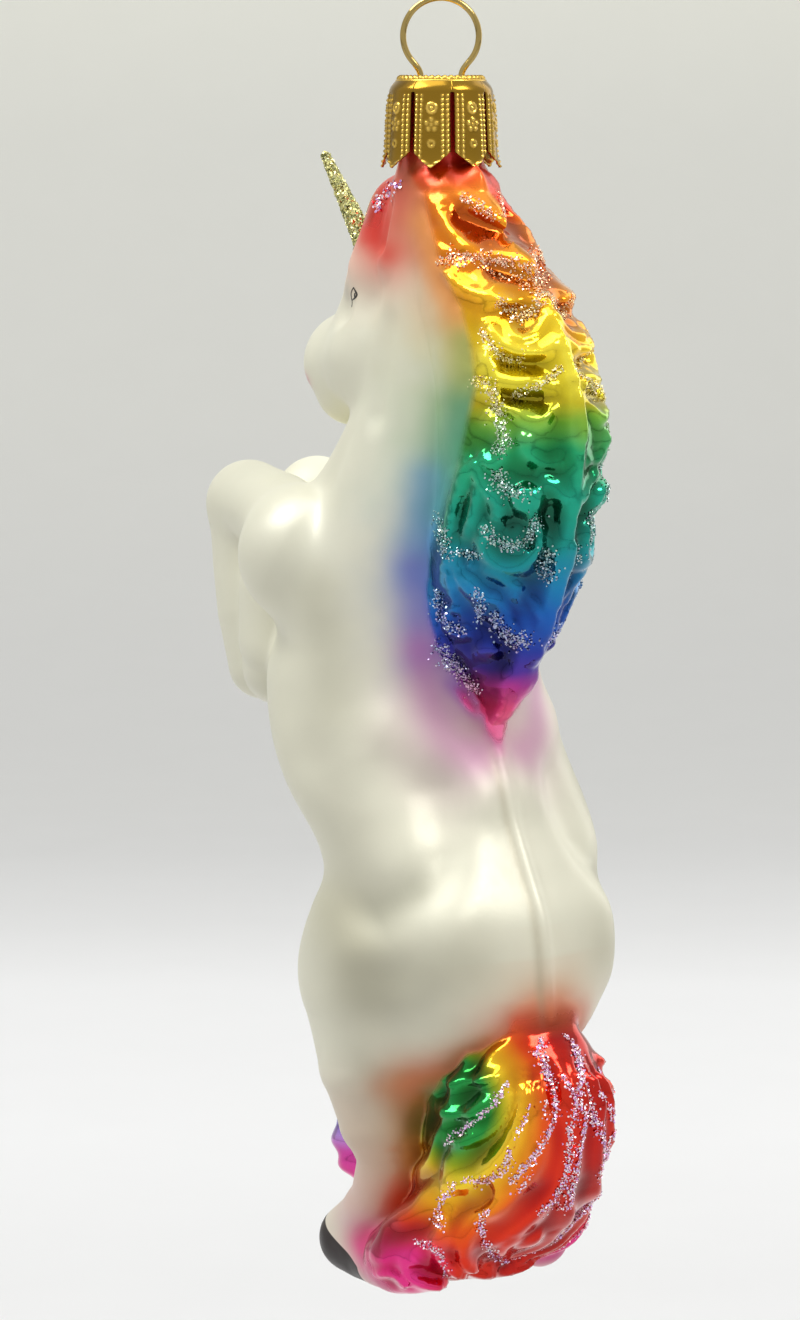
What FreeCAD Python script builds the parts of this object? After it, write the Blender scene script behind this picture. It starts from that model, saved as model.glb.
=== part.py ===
"""Hanging ornament: a rearing unicorn blown in thin glass, with a glued horn, glitter beads,
a stamped crown cap and a spring-wire hanger.

Frame: millimetres, +Z up, the unicorn faces -Y and its left side is +X.
The origin is where a hook carries the wire loop, on the inside of the loop's top.
The figure is laid out above its own base plane, and each solid moves down to the origin when it is saved.
"""
import FreeCAD, Part
import math
import os

from FreeCAD import Vector

# Blown figure
figure_height = 140.0      # lowest glass to the foot of the plain neck
figure_width = 40.0        # across the hips
figure_depth = 72.0        # forelegs to tail
glass_wall = 1.0           # blown wall; the legs and locks are solid

# Plain neck that carries the cap
neck_radius = 5.2
neck_wall = 0.6
neck_length = 11.0         # above the figure

# Horn and the glue that holds it
horn_length = 14.8
horn_foot_radius = 1.4
horn_tip_radius = 0.45
horn_rise_angle = 50.0     # degrees above level
horn_stub_radius = 0.9
horn_stub_length = 3.0
horn_seat_gap = 0.6        # horn's foot to the forehead, filled by the glue
horn_glue_gap = 0.3        # stub to glass, filled by the glue
horn_glue_collar = 0.5     # how far the glue stands round the horn's foot

# Locks that stand out of the mane and the tail, and the band along the spine
lock_height = 1.1
lock_width = 1.5           # half a lock's width at a third of its height
spine_radius = 0.9
spine_rise = 0.35          # how far the band stands out of the back

# Glitter beads
bead_radius = 0.8          # half a bead's width
bead_height = 0.45
bead_sink = 0.05           # how far a bead's flat foot is pressed into the lacquer

# Crown cap
cap_sheet = 0.3
cap_rest_gap = 0.1         # neck rim to the inside of the cap's top
cap_disc_radius = 5.6
cap_gap = 1.0              # neck to skirt
cap_flare = 0.5            # how much wider the skirt is at its foot
cap_length = 10.7
cap_point_length = 2.0
cap_shoulder_drop = 1.5
cap_slit = 0.6
cap_rope_radius = 0.4
cap_rope_inset = 0.7       # rope's middle from the disc's edge
cap_petals = 8

# Wire hanger
wire_radius = 0.39
loop_radius = 4.65         # centre line of the loop
loop_rise = 5.35           # loop's middle above the cap's top
loop_leg_spread = 2.55     # each leg from the middle, where it passes the cap
loop_leg_rise = 0.8        # where the legs run straight, above the cap
leg_length = 8.0           # below the cap's top
leg_end_spread = 3.4       # each leg's end from the middle
slot_gap = 0.2             # wire to the cap's holes
loop_close_angle = 35.0    # how far the loop's round runs below its middle, degrees
loop_heading = 145.0       # direction of the loop's plane, degrees from +X

# Layout of the curves
section_points = 12        # points round each section of a limb
row_points = 40            # points from the back to the front of the trunk and mane, on each side
row_end_share = 0.12       # the first and last point's neighbour, against the others' spacing
tail_points = 18           # points from the back to the front of the tail, on each side
mane_sections = 44
tail_sections = 16
outline_steps = 120        # steps to follow an outline
dome_row_shares = (0.22, 0.44, 0.67, 0.86, 0.89)   # rows that round an end, against a quarter turn
lock_fade_share = 0.025    # how near the ends of the mane and tail the locks fade out, against the height
seam_share = 0.37          # where the first of them lies, between its neighbours
trace_steps = 3            # points between two given points of a glitter line
trace_aspect_share = 0.08  # an oval's half depth against the figure's height
bead_end_share = 0.5       # a bead's end against its middle
loop_steps = 7             # points on each half of the wire loop
dome_shares = ((0.55, 0.835), (0.9, 0.436))   # how far out and how wide a domed end's sections are
dome_flat_share = 0.5      # a domed end's rise against its half width
ear_taper_share = 0.35     # ear's tip against its foot

# Derived sizes
half_width = figure_width / 2
half_depth = figure_depth / 2
neck_bore = neck_radius - neck_wall
neck_top = figure_height + neck_length
cap_top = neck_top + cap_rest_gap + cap_sheet
cap_shoulder_radius = neck_radius + cap_gap + cap_sheet
loop_middle = cap_top + loop_rise
hang_point = loop_middle + loop_radius - wire_radius

# Horizontal sections: height, middle in depth, half depth, half width.
# Heights are shares of figure_height, depths of half_depth and widths of half_width.
trunk_shares = [
    (0.218, 0.10, 0.40, 0.66),
    (0.257, 0.08, 0.53, 0.83),
    (0.300, 0.09, 0.54, 0.95),
    (0.354, 0.13, 0.47, 1.00),
    (0.395, 0.12, 0.40, 0.99),
    (0.443, 0.01, 0.41, 0.95),
    (0.493, -0.14, 0.48, 0.87),
    (0.543, -0.21, 0.54, 0.77),
    (0.600, -0.19, 0.53, 0.71),
    (0.657, -0.13, 0.47, 0.67),
    (0.714, -0.05, 0.42, 0.60),
    (0.771, 0.00, 0.37, 0.51),
    (0.829, 0.04, 0.31, 0.44),
    (0.886, 0.04, 0.25, 0.39),
    (0.943, 0.02, 0.20, 0.34),
    (0.990, 0.00, 0.16, 0.29),
]
mane_shares = [
    (0.520, 0.20, 0.13, 0.11),
    (0.545, 0.24, 0.185, 0.19),
    (0.586, 0.29, 0.235, 0.30),
    (0.640, 0.345, 0.295, 0.39),
    (0.700, 0.41, 0.325, 0.43),
    (0.757, 0.455, 0.325, 0.44),
    (0.814, 0.44, 0.315, 0.44),
    (0.864, 0.36, 0.315, 0.42),
    (0.907, 0.255, 0.295, 0.39),
    (0.950, 0.14, 0.23, 0.34),
    (0.985, 0.065, 0.16, 0.29),
]
tail_shares = [
    (0.040, 0.19, 0.19, 0.42),
    (0.062, 0.27, 0.25, 0.53),
    (0.093, 0.345, 0.29, 0.57),
    (0.136, 0.425, 0.31, 0.56),
    (0.186, 0.475, 0.30, 0.53),
    (0.229, 0.495, 0.235, 0.43),
    (0.260, 0.52, 0.14, 0.28),
]

# Paths: across, depth, height, radius. Across and radius are shares of half_width.
hind_leg_shares = [
    (0.48, 0.16, 0.340, 0.48),
    (0.50, 0.02, 0.285, 0.47),
    (0.50, 0.03, 0.215, 0.37),
    (0.47, 0.07, 0.150, 0.29),
    (0.45, 0.06, 0.100, 0.23),
    (0.45, -0.01, 0.060, 0.215),
    (0.46, -0.13, 0.036, 0.22),
]
upper_arm_shares = [
    (0.12, -0.02, 0.600, 0.34),
    (0.31, -0.21, 0.624, 0.38),
    (0.52, -0.42, 0.657, 0.42),
]
forearm_shares = [
    (0.46, -0.42, 0.666, 0.32),
    (0.34, -0.74, 0.685, 0.28),
    (0.265, -1.00, 0.692, 0.27),
]
web_shares = [
    (0.28, -0.74, 0.668, 0.25),
    (0.29, -0.74, 0.620, 0.30),
    (0.30, -0.75, 0.575, 0.28),
    (0.30, -0.78, 0.545, 0.22),
]
cannon_shares = [
    (0.265, -1.00, 0.689, 0.26),
    (0.265, -0.97, 0.638, 0.27),
    (0.265, -0.94, 0.592, 0.27),
    (0.270, -0.92, 0.541, 0.26),
]
left_lock_shares = [
    (0.40, 0.38, 0.080, 0.27),
    (0.52, 0.22, 0.052, 0.25),
    (0.54, 0.08, 0.042, 0.21),
    (0.50, 0.00, 0.036, 0.15),
]
right_lock_shares = [
    (0.40, 0.38, 0.080, 0.27),
    (0.66, 0.14, 0.062, 0.23),
    (0.60, -0.22, 0.070, 0.20),
    (0.34, -0.42, 0.094, 0.18),
    (0.12, -0.44, 0.122, 0.15),
]
# Head: depth, height, half width, half height of the section square to the head's own line.
spine_shares = (0.500, 0.443, 0.395, 0.354, 0.300, 0.262)   # heights along the back
head_shares = [
    (-0.18, 0.910, 0.34, 0.41),
    (-0.31, 0.880, 0.33, 0.42),
    (-0.44, 0.850, 0.26, 0.37),
    (-0.55, 0.829, 0.22, 0.31),
    (-0.63, 0.816, 0.19, 0.24),
]
cheek_shares = (-0.27, 0.822, 0.30, 0.35)     # depth, height, half width, radius
forelock_shares = (-0.18, 0.957, 0.26, 0.29)  # depth, height, half width, radius
ear_foot_shares = (0.26, -0.05, 0.925)
ear_tip_shares = (0.29, -0.01, 0.993)
ear_radius_share = 0.11
horn_aim_shares = (-0.33, 0.895)              # depth and height of a point inside the head on the horn's line

# Crests of the locks, and glitter lines. Each point is its place across the oval in depth, from -1 at the front
# to 1 at the back, and its height: a share of figure_height on the mane and tail, of the egg's radius on the forelock.
mane_crest_shares = [
    [(0.57, 0.974), (0.61, 0.951), (0.79, 0.935), (0.96, 0.926)],
    [(0.81, 0.984), (0.95, 0.970), (0.98, 0.950)],
    [(0.19, 0.926), (0.45, 0.906), (0.73, 0.902), (0.91, 0.894)],
    [(0.57, 0.885), (0.69, 0.866), (0.83, 0.858), (0.95, 0.861), (0.98, 0.873)],
    [(0.51, 0.866), (0.49, 0.845), (0.65, 0.834), (0.89, 0.840), (0.97, 0.828)],
    [(0.33, 0.834), (0.57, 0.818), (0.81, 0.806), (0.91, 0.812)],
    [(0.19, 0.776), (0.25, 0.750), (0.53, 0.737), (0.47, 0.722)],
    [(0.73, 0.800), (0.73, 0.779), (0.85, 0.770), (0.95, 0.773)],
    [(0.59, 0.744), (0.71, 0.753), (0.83, 0.743), (0.81, 0.728)],
    [(0.41, 0.722), (0.37, 0.699), (0.59, 0.681), (0.83, 0.686), (0.89, 0.705), (0.83, 0.723)],
    [(-0.15, 0.731), (-0.09, 0.692), (0.23, 0.659), (0.59, 0.656)],
    [(0.39, 0.686), (0.73, 0.669), (0.97, 0.641)],
    [(-0.43, 0.657), (-0.37, 0.621), (-0.03, 0.593), (0.39, 0.570)],
    [(0.39, 0.632), (0.71, 0.609), (0.95, 0.593)],
]
tail_crest_shares = [
    [(0.93, 0.250), (0.94, 0.206), (0.93, 0.165), (0.84, 0.125), (0.67, 0.096)],
    [(0.94, 0.128), (0.93, 0.107), (0.89, 0.078)],
    [(0.75, 0.252), (0.78, 0.228), (0.74, 0.192), (0.64, 0.152), (0.43, 0.122)],
    [(0.55, 0.250), (0.56, 0.225), (0.46, 0.191), (0.25, 0.162), (-0.05, 0.147)],
    [(0.35, 0.243), (0.32, 0.219), (0.12, 0.201), (-0.23, 0.188)],
    [(0.21, 0.138), (0.05, 0.111), (0.19, 0.078), (0.67, 0.054)],
    [(0.76, 0.110), (0.66, 0.084), (0.80, 0.066)],
]
mane_line_shares = [
    [(0.72, 0.975), (0.82, 0.966), (0.88, 0.956)],
    [(0.29, 0.926), (0.69, 0.930), (0.90, 0.927), (0.95, 0.914), (0.94, 0.898), (0.90, 0.884), (0.80, 0.881)],
    [(0.45, 0.876), (0.57, 0.857), (0.69, 0.846), (0.81, 0.846)],
    [(0.33, 0.830), (0.47, 0.821), (0.53, 0.806), (0.55, 0.789), (0.59, 0.777), (0.51, 0.767)],
    [(0.47, 0.750), (0.61, 0.734), (0.79, 0.732)],
    [(0.43, 0.701), (0.55, 0.690), (0.73, 0.684), (0.85, 0.694), (0.87, 0.711)],
    [(0.94, 0.683), (0.93, 0.672), (0.94, 0.660)],
    [(-0.33, 0.705), (-0.15, 0.687), (-0.03, 0.670)],
    [(-0.19, 0.642), (-0.13, 0.614), (0.29, 0.608)],
    [(0.62, 0.628), (0.74, 0.610), (0.87, 0.600)],
    [(-0.29, 0.590), (0.11, 0.574), (0.50, 0.558)],
]
tail_line_shares = [
    [(0.91, 0.245), (0.92, 0.230), (0.93, 0.209), (0.93, 0.188), (0.90, 0.170), (0.83, 0.150), (0.75, 0.137)],
    [(0.97, 0.165), (0.975, 0.145), (0.95, 0.125), (0.91, 0.108)],
    [(0.63, 0.221), (0.55, 0.204), (0.41, 0.192), (0.17, 0.174), (0.03, 0.165)],
    [(0.71, 0.165), (0.70, 0.153), (0.63, 0.143), (0.48, 0.137)],
    [(0.30, 0.150), (0.18, 0.137), (0.14, 0.124)],
    [(0.65, 0.108), (0.59, 0.096), (0.65, 0.080), (0.77, 0.066)],
]
forelock_line_shares = [[(-0.10, 0.75), (-0.40, 0.60), (-0.65, 0.35)]]


def place(across_share, depth_share, height_share):
    """A point of the figure from its three shares."""
    return Vector(across_share * half_width, depth_share * half_depth, height_share * figure_height)


def ring(middle, side, up, half_side, half_up):
    """A closed oval wire round middle, in the plane of side and up."""
    points = []
    for k in range(section_points):
        turn = 2 * math.pi * (k + seam_share) / section_points
        points.append(middle + side * (half_side * math.cos(turn)) + up * (half_up * math.sin(turn)))
    curve = Part.BSplineCurve()
    curve.interpolate(Points=points, PeriodicFlag=True)
    return Part.Wire([curve.toShape()])


def loft(rings):
    return Part.makeLoft(rings, True, False)


def blended(shares, height):
    """A table's oval at a height (middle, half depth, half width), or nothing beyond the table's ends."""
    if height < shares[0][0] or height > shares[-1][0]:
        return None
    row = next(k for k in range(1, len(shares)) if height <= shares[k][0])
    span = shares[row][0] - shares[row - 1][0]
    part = (height - shares[row - 1][0]) / span
    oval = []
    for column in (1, 2, 3):
        start, end = shares[row - 1][column], shares[row][column]
        leave = slope(shares, row - 1, column) * span
        arrive = slope(shares, row, column) * span
        turn_off = part * (1 - part) ** 2 * leave - part ** 2 * (1 - part) * arrive
        oval.append(start + (end - start) * part ** 2 * (3 - 2 * part) + turn_off)
    return oval[0] * half_depth, oval[1] * half_depth, oval[2] * half_width


def slope(shares, row, column):
    """How fast a column of a table changes at one of its rows."""
    low = shares[max(row - 1, 0)]
    high = shares[min(row + 1, len(shares) - 1)]
    return (high[column] - low[column]) / (high[0] - low[0])


def oval_point(oval, turn, height):
    """A point of an oval; turn is 0 at its back and half a circle at its front."""
    middle, depth, width = oval
    return Vector(width * math.sin(turn), middle + depth * math.cos(turn), height)


def within(oval, point):
    middle, depth, width = oval
    return (point.x / width) ** 2 + ((point.y - middle) / depth) ** 2 < 1


def outline(ovals, level):
    """The left half of the line round some ovals, back to front: each point and the way out of it."""
    points = []
    for k, oval in enumerate(ovals):
        others = ovals[:k] + ovals[k + 1:]
        middle, depth, width = oval
        for step in range(outline_steps + 1):
            point = oval_point(oval, math.pi * step / outline_steps, level)
            if not any(within(other, point) for other in others):
                normal = Vector(point.x / width ** 2, (point.y - middle) / depth ** 2, 0).normalize()
                points.append((point, normal))
    start = ovals[0][0]
    return sorted(points, key=lambda spot: math.atan2(spot[0].x, spot[0].y - start))


def evenly(spots, count):
    """Points at even spacing along an outline, with a near neighbour at each end that keeps it square to the middle."""
    lengths = [0]
    for before, after in zip(spots, spots[1:]):
        lengths.append(lengths[-1] + (after[0] - before[0]).Length)
    shares = [0, row_end_share / count] + [k / count for k in range(1, count)] + [1 - row_end_share / count, 1]
    chosen = []
    place_now = 0
    for share in shares:
        wanted = share * lengths[-1]
        while place_now < len(spots) - 2 and lengths[place_now + 1] < wanted:
            place_now += 1
        before, after = spots[place_now], spots[place_now + 1]
        part = (wanted - lengths[place_now]) / (lengths[place_now + 1] - lengths[place_now])
        chosen.append((before[0] + (after[0] - before[0]) * part, before[1] + (after[1] - before[1]) * part))
    return chosen


def softened(spots):
    """The same points; each one's way out is turned halfway to its neighbours'."""
    ways = [spots[0][1]] + [way for _, way in spots] + [spots[-1][1]]
    return [(spots[k][0], (ways[k] + ways[k + 1] * 2 + ways[k + 2]).normalize()) for k in range(len(spots))]


def standing(table, height):
    """The share of their height at which a table's locks stand, which fades out at its ends."""
    inside = min(height - table[0][0], table[-1][0] - height)
    return min(1, max(0, inside / lock_fade_share))


def row(ovals, level, count, crests, stand=1.0):
    """The left half of a level section, pushed out along the crests of the locks by a share of their height."""
    points = []
    for point, normal in softened(evenly(outline(ovals, level), count)):
        if crests:
            reach = min(segment_reach(start, end, point) for start, end in crests)
            point = point + normal * (stand * lock_height * math.exp(-(reach / lock_width) ** 2))
        points.append(point)
    points[0].x = points[-1].x = 0
    points[1].y = points[0].y
    points[-2].y = points[-1].y
    return points


def segment_reach(start, end, point):
    line = end - start
    part = min(1, max(0, (point - start).dot(line) / line.dot(line)))
    return (point - start - line * part).Length


def crest_segments(spot, lines):
    """The crests of the locks, as short straight pieces on the left side."""
    segments = []
    for line in lines:
        points = [spot(around, height) for around, height in traced(line)]
        segments += list(zip(points, points[1:]))
    return segments


def narrowed(oval, wall):
    middle, depth, width = oval
    return middle, depth - wall, width - wall


def domed(last, way):
    """The rows that draw an end in to a dome, from the end outwards."""
    middle = (last[0] + last[-1]) / 2
    rise = dome_flat_share * min(max(point.x for point in last), (last[0] - middle).Length)
    rows = []
    for share in dome_row_shares:
        turn = math.pi / 2 * share
        up = Vector(0, 0, way * rise * math.sin(turn))
        rows.append([middle + (point - middle) * math.cos(turn) + up for point in last])
    return rows


def both_sides(rows):
    """A solid from the rows of points of its left side, foot to top, with its ends drawn in."""
    rows = domed(rows[0], -1)[::-1] + rows + domed(rows[-1], 1)
    faces = []
    for side in (1, -1):
        surface = Part.BSplineSurface()
        surface.interpolate([[Vector(side * point.x, point.y, point.z) for point in row] for row in rows])
        faces.append(surface.toShape())
    rims = [[pick(face.Edges, key=lambda edge: edge.CenterOfMass.z) for face in faces] for pick in (min, max)]
    ends = [Part.Face(Part.Wire(Part.__sortEdges__(rim))) for rim in rims]
    shell = Part.makeShell(faces + ends)
    shell.sewShape()
    return Part.makeSolid(shell)


def limb(shares, mirrored=False):
    """A round-sectioned solid along a path, with domed ends."""
    sign = -1 if mirrored else 1
    return tube([(place(sign * across, depth, height), radius * half_width)
                 for across, depth, height, radius in shares])


def tube(nodes):
    """A solid through round sections; each node is its middle and radius."""
    tangents = []
    for k in range(len(nodes)):
        before = nodes[max(k - 1, 0)][0]
        after = nodes[min(k + 1, len(nodes) - 1)][0]
        tangents.append((after - before).normalize())
    stops = dome(nodes[0], tangents[0], -1)[::-1]
    stops += [(nodes[k][0], tangents[k], nodes[k][1]) for k in range(len(nodes))]
    stops += dome(nodes[-1], tangents[-1], 1)
    rings = []
    for middle, tangent, radius in stops:
        side = Vector(1, 0, 0) - tangent * tangent.x
        side.normalize()
        rings.append(ring(middle, side, tangent.cross(side), radius, radius))
    return loft(rings)


def dome(node, tangent, way):
    middle, radius = node
    return [(middle + tangent * (way * out * radius), tangent, wide * radius) for out, wide in dome_shares]


def ball(shares):
    """An egg on the mid plane: depth, height, half width and radius, all shares."""
    depth, height, across, radius = shares
    matrix = FreeCAD.Matrix()
    matrix.scale(Vector(across / radius, 1, 1))
    egg = Part.makeSphere(radius * half_width).transformGeometry(matrix)
    egg.translate(place(0, depth, height))
    return egg


def head(wall=0.0):
    """The head's long form, from the poll to the muzzle."""
    sections = [(place(0, depth, height), width * half_width - wall, tall * half_width - wall)
                for depth, height, width, tall in head_shares]
    along = (sections[-1][0] - sections[0][0]).normalize()
    side = Vector(1, 0, 0)
    stops = rounded_end(sections[0], -along)[::-1] + sections + rounded_end(sections[-1], along)
    return loft([ring(middle, side, side.cross(along), width, tall) for middle, width, tall in stops])


def rounded_end(section, way):
    middle, width, tall = section
    return [(middle + way * (out * width), wide * width, wide * tall) for out, wide in dome_shares]


def neck_column(radius, top):
    """The plain neck, drawn down into the trunk's last section."""
    foot = trunk_shares[-2][0] * figure_height
    return Part.makeCylinder(radius, top - foot, Vector(0, 0, foot))


def ear(mirrored):
    sign = -1 if mirrored else 1
    foot = place(sign * ear_foot_shares[0], ear_foot_shares[1], ear_foot_shares[2])
    tip = place(sign * ear_tip_shares[0], ear_tip_shares[1], ear_tip_shares[2])
    line = tip - foot
    radius = ear_radius_share * half_width
    return Part.makeCone(radius, radius * ear_taper_share, line.Length, foot, line)


def trunk_and_mane(wall=0.0):
    """The trunk from the hips to the neck, with the mane along its back. Its hollow has no locks."""
    rim = [(1.0, section[0]) for section in mane_shares]
    spot = side_spot(mane_shares, [trunk_shares, mane_shares])
    crests = [] if wall else crest_segments(spot, mane_crest_shares + [rim])
    foot, top = mane_shares[0][0], mane_shares[-1][0]
    heights = [section[0] for section in trunk_shares if section[0] < foot]
    heights += [foot + (top - foot) * k / mane_sections for k in range(mane_sections + 1)]
    rows = []
    for height in heights:
        ovals = [blended(table, height) for table in (trunk_shares, mane_shares)]
        ovals = [narrowed(oval, wall) for oval in ovals if oval]
        rows.append(row(ovals, height * figure_height, row_points, crests, standing(mane_shares, height)))
    return both_sides(rows)


def tail(wall=0.0):
    crests = [] if wall else crest_segments(side_spot(tail_shares, [tail_shares]), tail_crest_shares)
    foot, top = tail_shares[0][0], tail_shares[-1][0]
    rows = []
    for k in range(tail_sections + 1):
        height = foot + (top - foot) * k / tail_sections
        oval = narrowed(blended(tail_shares, height), wall)
        rows.append(row([oval], height * figure_height, tail_points, crests, standing(tail_shares, height)))
    return both_sides(rows)


def spine():
    """The low band that runs down the back from the mane to the tail."""
    nodes = []
    for share in spine_shares:
        middle, depth, _ = blended(trunk_shares, share)
        nodes.append((Vector(0, middle + depth + spine_rise - spine_radius, share * figure_height), spine_radius))
    return tube(nodes)


def tail_locks():
    return [limb(left_lock_shares), limb(right_lock_shares, True)]


def legs():
    paths = (hind_leg_shares, upper_arm_shares, forearm_shares, web_shares, cannon_shares)
    return [limb(path, mirrored) for path in paths for mirrored in (False, True)]


def surface_point(solid, start, heading):
    """Where a straight way from start, inside the solid, comes out of it."""
    way = Part.makeLine(start, start + heading * solid.BoundBox.DiagonalLength).common(solid)
    return max([v.Point for v in way.Vertexes], key=lambda p: (p - start).Length)


def horn_frame():
    """The horn's foot on the forehead and its direction."""
    rise = math.radians(horn_rise_angle)
    heading = Vector(0, -math.cos(rise), math.sin(rise))
    aim = place(0, horn_aim_shares[0], horn_aim_shares[1])
    return surface_point(head(), aim, heading) + heading * horn_seat_gap, heading


def horn_hole():
    foot, heading = horn_frame()
    start = foot - heading * (horn_stub_length + horn_glue_gap)
    length = horn_stub_length + horn_glue_gap + horn_foot_radius
    return Part.makeCylinder(horn_stub_radius + horn_glue_gap, length, start, heading)


def glass_body():
    """The blown figure: one skin round a hollow that opens at the neck."""
    skin = [tail(), spine(), head(), ball(cheek_shares), ball(forelock_shares), ear(False), ear(True)]
    skin += legs() + tail_locks()
    skin.append(neck_column(neck_radius, neck_top))
    outside = trunk_and_mane().multiFuse(skin)
    hollow = trunk_and_mane(glass_wall).multiFuse([tail(glass_wall), head(glass_wall),
                                                   neck_column(neck_bore, neck_top + neck_length)])
    return outside.cut(hollow).cut(horn_hole())


def horn():
    foot, heading = horn_frame()
    rounding = horn_tip_radius
    spike = Part.makeCone(horn_foot_radius, horn_tip_radius, horn_length - rounding, foot, heading)
    tip = Part.makeSphere(horn_tip_radius, foot + heading * (horn_length - rounding))
    stub = Part.makeCylinder(horn_stub_radius, horn_stub_length, foot, -heading)
    return spike.multiFuse([tip, stub])


def horn_adhesive():
    """Glue in the hole round the stub, with a low collar round the horn's foot."""
    foot, heading = horn_frame()
    collar_radius = horn_foot_radius + horn_glue_collar
    collar = Part.makeCone(collar_radius, horn_foot_radius, horn_glue_collar, foot, heading)
    skirt = Part.makeCylinder(collar_radius, horn_foot_radius, foot, -heading)
    sleeve = Part.makeCylinder(horn_stub_radius + horn_glue_gap, horn_stub_length, foot, -heading)
    above = collar.fuse(skirt).cut(head()).cut(ball(forelock_shares))
    return above.fuse(sleeve).cut(horn())


def traced(line):
    """The points of a glitter line, filled in evenly."""
    curve = Part.BSplineCurve()
    curve.interpolate([Vector(0, around * trace_aspect_share, height) for around, height in line])
    count = trace_steps * (len(line) - 1)
    first, last = curve.FirstParameter, curve.LastParameter
    points = [curve.value(first + (last - first) * k / count) for k in range(count + 1)]
    return [(point.y / trace_aspect_share, point.z) for point in points]


def side_spot(table, tables):
    """A way to find points on the left side of the solid that the tables describe, placed by one of them."""
    def spot(around, height):
        middle, depth, width = blended(table, height)
        at = middle + around * depth
        reach = 0
        for other in tables:
            oval = blended(other, height)
            if oval and abs(at - oval[0]) < oval[1]:
                reach = max(reach, oval[2] * math.sqrt(1 - ((at - oval[0]) / oval[1]) ** 2))
        return Vector(reach, at, height * figure_height)
    return spot


def egg_spot(shares):
    """A way to find points on the left side of an egg."""
    depth, height, across, radius = shares
    middle = place(0, depth, height)

    def spot(around, rise):
        reach = across * half_width * math.sqrt(1 - around ** 2 - rise ** 2)
        return middle + Vector(reach, around * radius * half_width, rise * radius * half_width)
    return spot


def seat(surface, point):
    """The nearest place on a left-hand skin, and the way straight out of it."""
    along, up = surface.parameter(point)
    normal = surface.normal(along, up)
    return surface.value(along, up), normal if normal.x > 0 else -normal


def bead(surface, spot, line):
    """A low flat-bottomed bead of glitter glue along a line on a left-hand skin."""
    seats = [seat(surface, spot(around, height)) for around, height in traced(line)]
    rings = []
    for k, (point, normal) in enumerate(seats):
        tangent = seats[min(k + 1, len(seats) - 1)][0] - seats[max(k - 1, 0)][0]
        across = tangent.cross(normal).normalize()
        swell = bead_end_share if k in (0, len(seats) - 1) else 1
        foot = point - normal * bead_sink
        corners = [foot - across * (bead_radius * swell), foot + normal * (bead_height * swell),
                   foot + across * (bead_radius * swell)]
        over = Part.Arc(corners[0], corners[1], corners[2]).toShape()
        under = Part.LineSegment(corners[2], corners[0]).toShape()
        rings.append(Part.Wire([over, under]))
    return loft(rings)


def wire_point(across, height):
    turn = math.radians(loop_heading)
    return Vector(across * math.cos(turn), across * math.sin(turn), height)


def hanger():
    """Loop above the cap, two legs through it that spread inside the neck."""
    half = []
    for k in range(loop_steps + 1):
        angle = math.radians(90 - (90 + loop_close_angle) * k / loop_steps)
        half.append((loop_radius * math.cos(angle), loop_middle + loop_radius * math.sin(angle)))
    half.append((loop_leg_spread, cap_top + loop_leg_rise))
    half.append((loop_leg_spread, cap_top - cap_sheet))
    half.append(((loop_leg_spread + leg_end_spread) / 2, cap_top - leg_length / 2))
    half.append((leg_end_spread, cap_top - leg_length))
    points = [wire_point(-across, height) for across, height in half[:0:-1]]
    points += [wire_point(across, height) for across, height in half]
    curve = Part.BSplineCurve()
    curve.interpolate(points)
    spine = Part.Wire([curve.toShape()])
    start = curve.tangent(curve.FirstParameter)[0]
    profile = Part.Wire([Part.makeCircle(wire_radius, points[0], start)])
    return spine.makePipeShell([profile], True, False)


def cap_cup():
    """The cap's sheet before it is cut, turned about its axis."""
    foot_radius = cap_shoulder_radius + cap_flare
    outline = [(0, 0), (cap_disc_radius, 0), (cap_shoulder_radius, cap_shoulder_drop), (foot_radius, cap_length),
               (foot_radius - cap_sheet, cap_length), (cap_shoulder_radius - cap_sheet, cap_shoulder_drop),
               (cap_disc_radius - cap_sheet, cap_sheet), (0, cap_sheet), (0, 0)]
    points = [Vector(radius, 0, cap_top - drop) for radius, drop in outline]
    return Part.Face(Part.makePolygon(points)).revolve(Vector(0, 0, 0), Vector(0, 0, 1), 360)


def cap_notch(turn):
    """The slit between two petals, with the slopes of their points."""
    reach = cap_shoulder_radius + cap_flare
    pitch = reach * math.tan(math.pi / cap_petals)
    slope_drop = cap_length - cap_point_length
    outline = [(-pitch, cap_length + cap_sheet), (-pitch, cap_length), (-cap_slit / 2, slope_drop),
               (-cap_slit / 2, cap_shoulder_drop), (cap_slit / 2, cap_shoulder_drop),
               (cap_slit / 2, slope_drop), (pitch, cap_length), (pitch, cap_length + cap_sheet)]
    points = [Vector(0, across, cap_top - drop) for across, drop in outline]
    notch = Part.Face(Part.makePolygon(points + points[:1])).extrude(Vector(reach + cap_gap, 0, 0))
    notch.rotate(Vector(0, 0, 0), Vector(0, 0, 1), turn)
    return notch


def cap():
    """Crown cap: a disc with a rope round it and eight pointed petals."""
    rope_height = cap_top - cap_sheet + cap_rope_radius
    rope = Part.makeTorus(cap_disc_radius - cap_rope_inset, cap_rope_radius, Vector(0, 0, rope_height))
    cuts = [cap_notch((k + 0.5) * 360 / cap_petals) for k in range(cap_petals)]
    for side in (-1, 1):
        foot = wire_point(side * loop_leg_spread, cap_top - loop_leg_rise)
        cuts.append(Part.makeCylinder(wire_radius + slot_gap, 2 * loop_leg_rise, foot))
    return cap_cup().fuse(rope).cut(cuts)


def save(node, shape):
    shape.translate(Vector(0, 0, -hang_point))
    shape.exportStep("parts/" + node + ".step")


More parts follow.
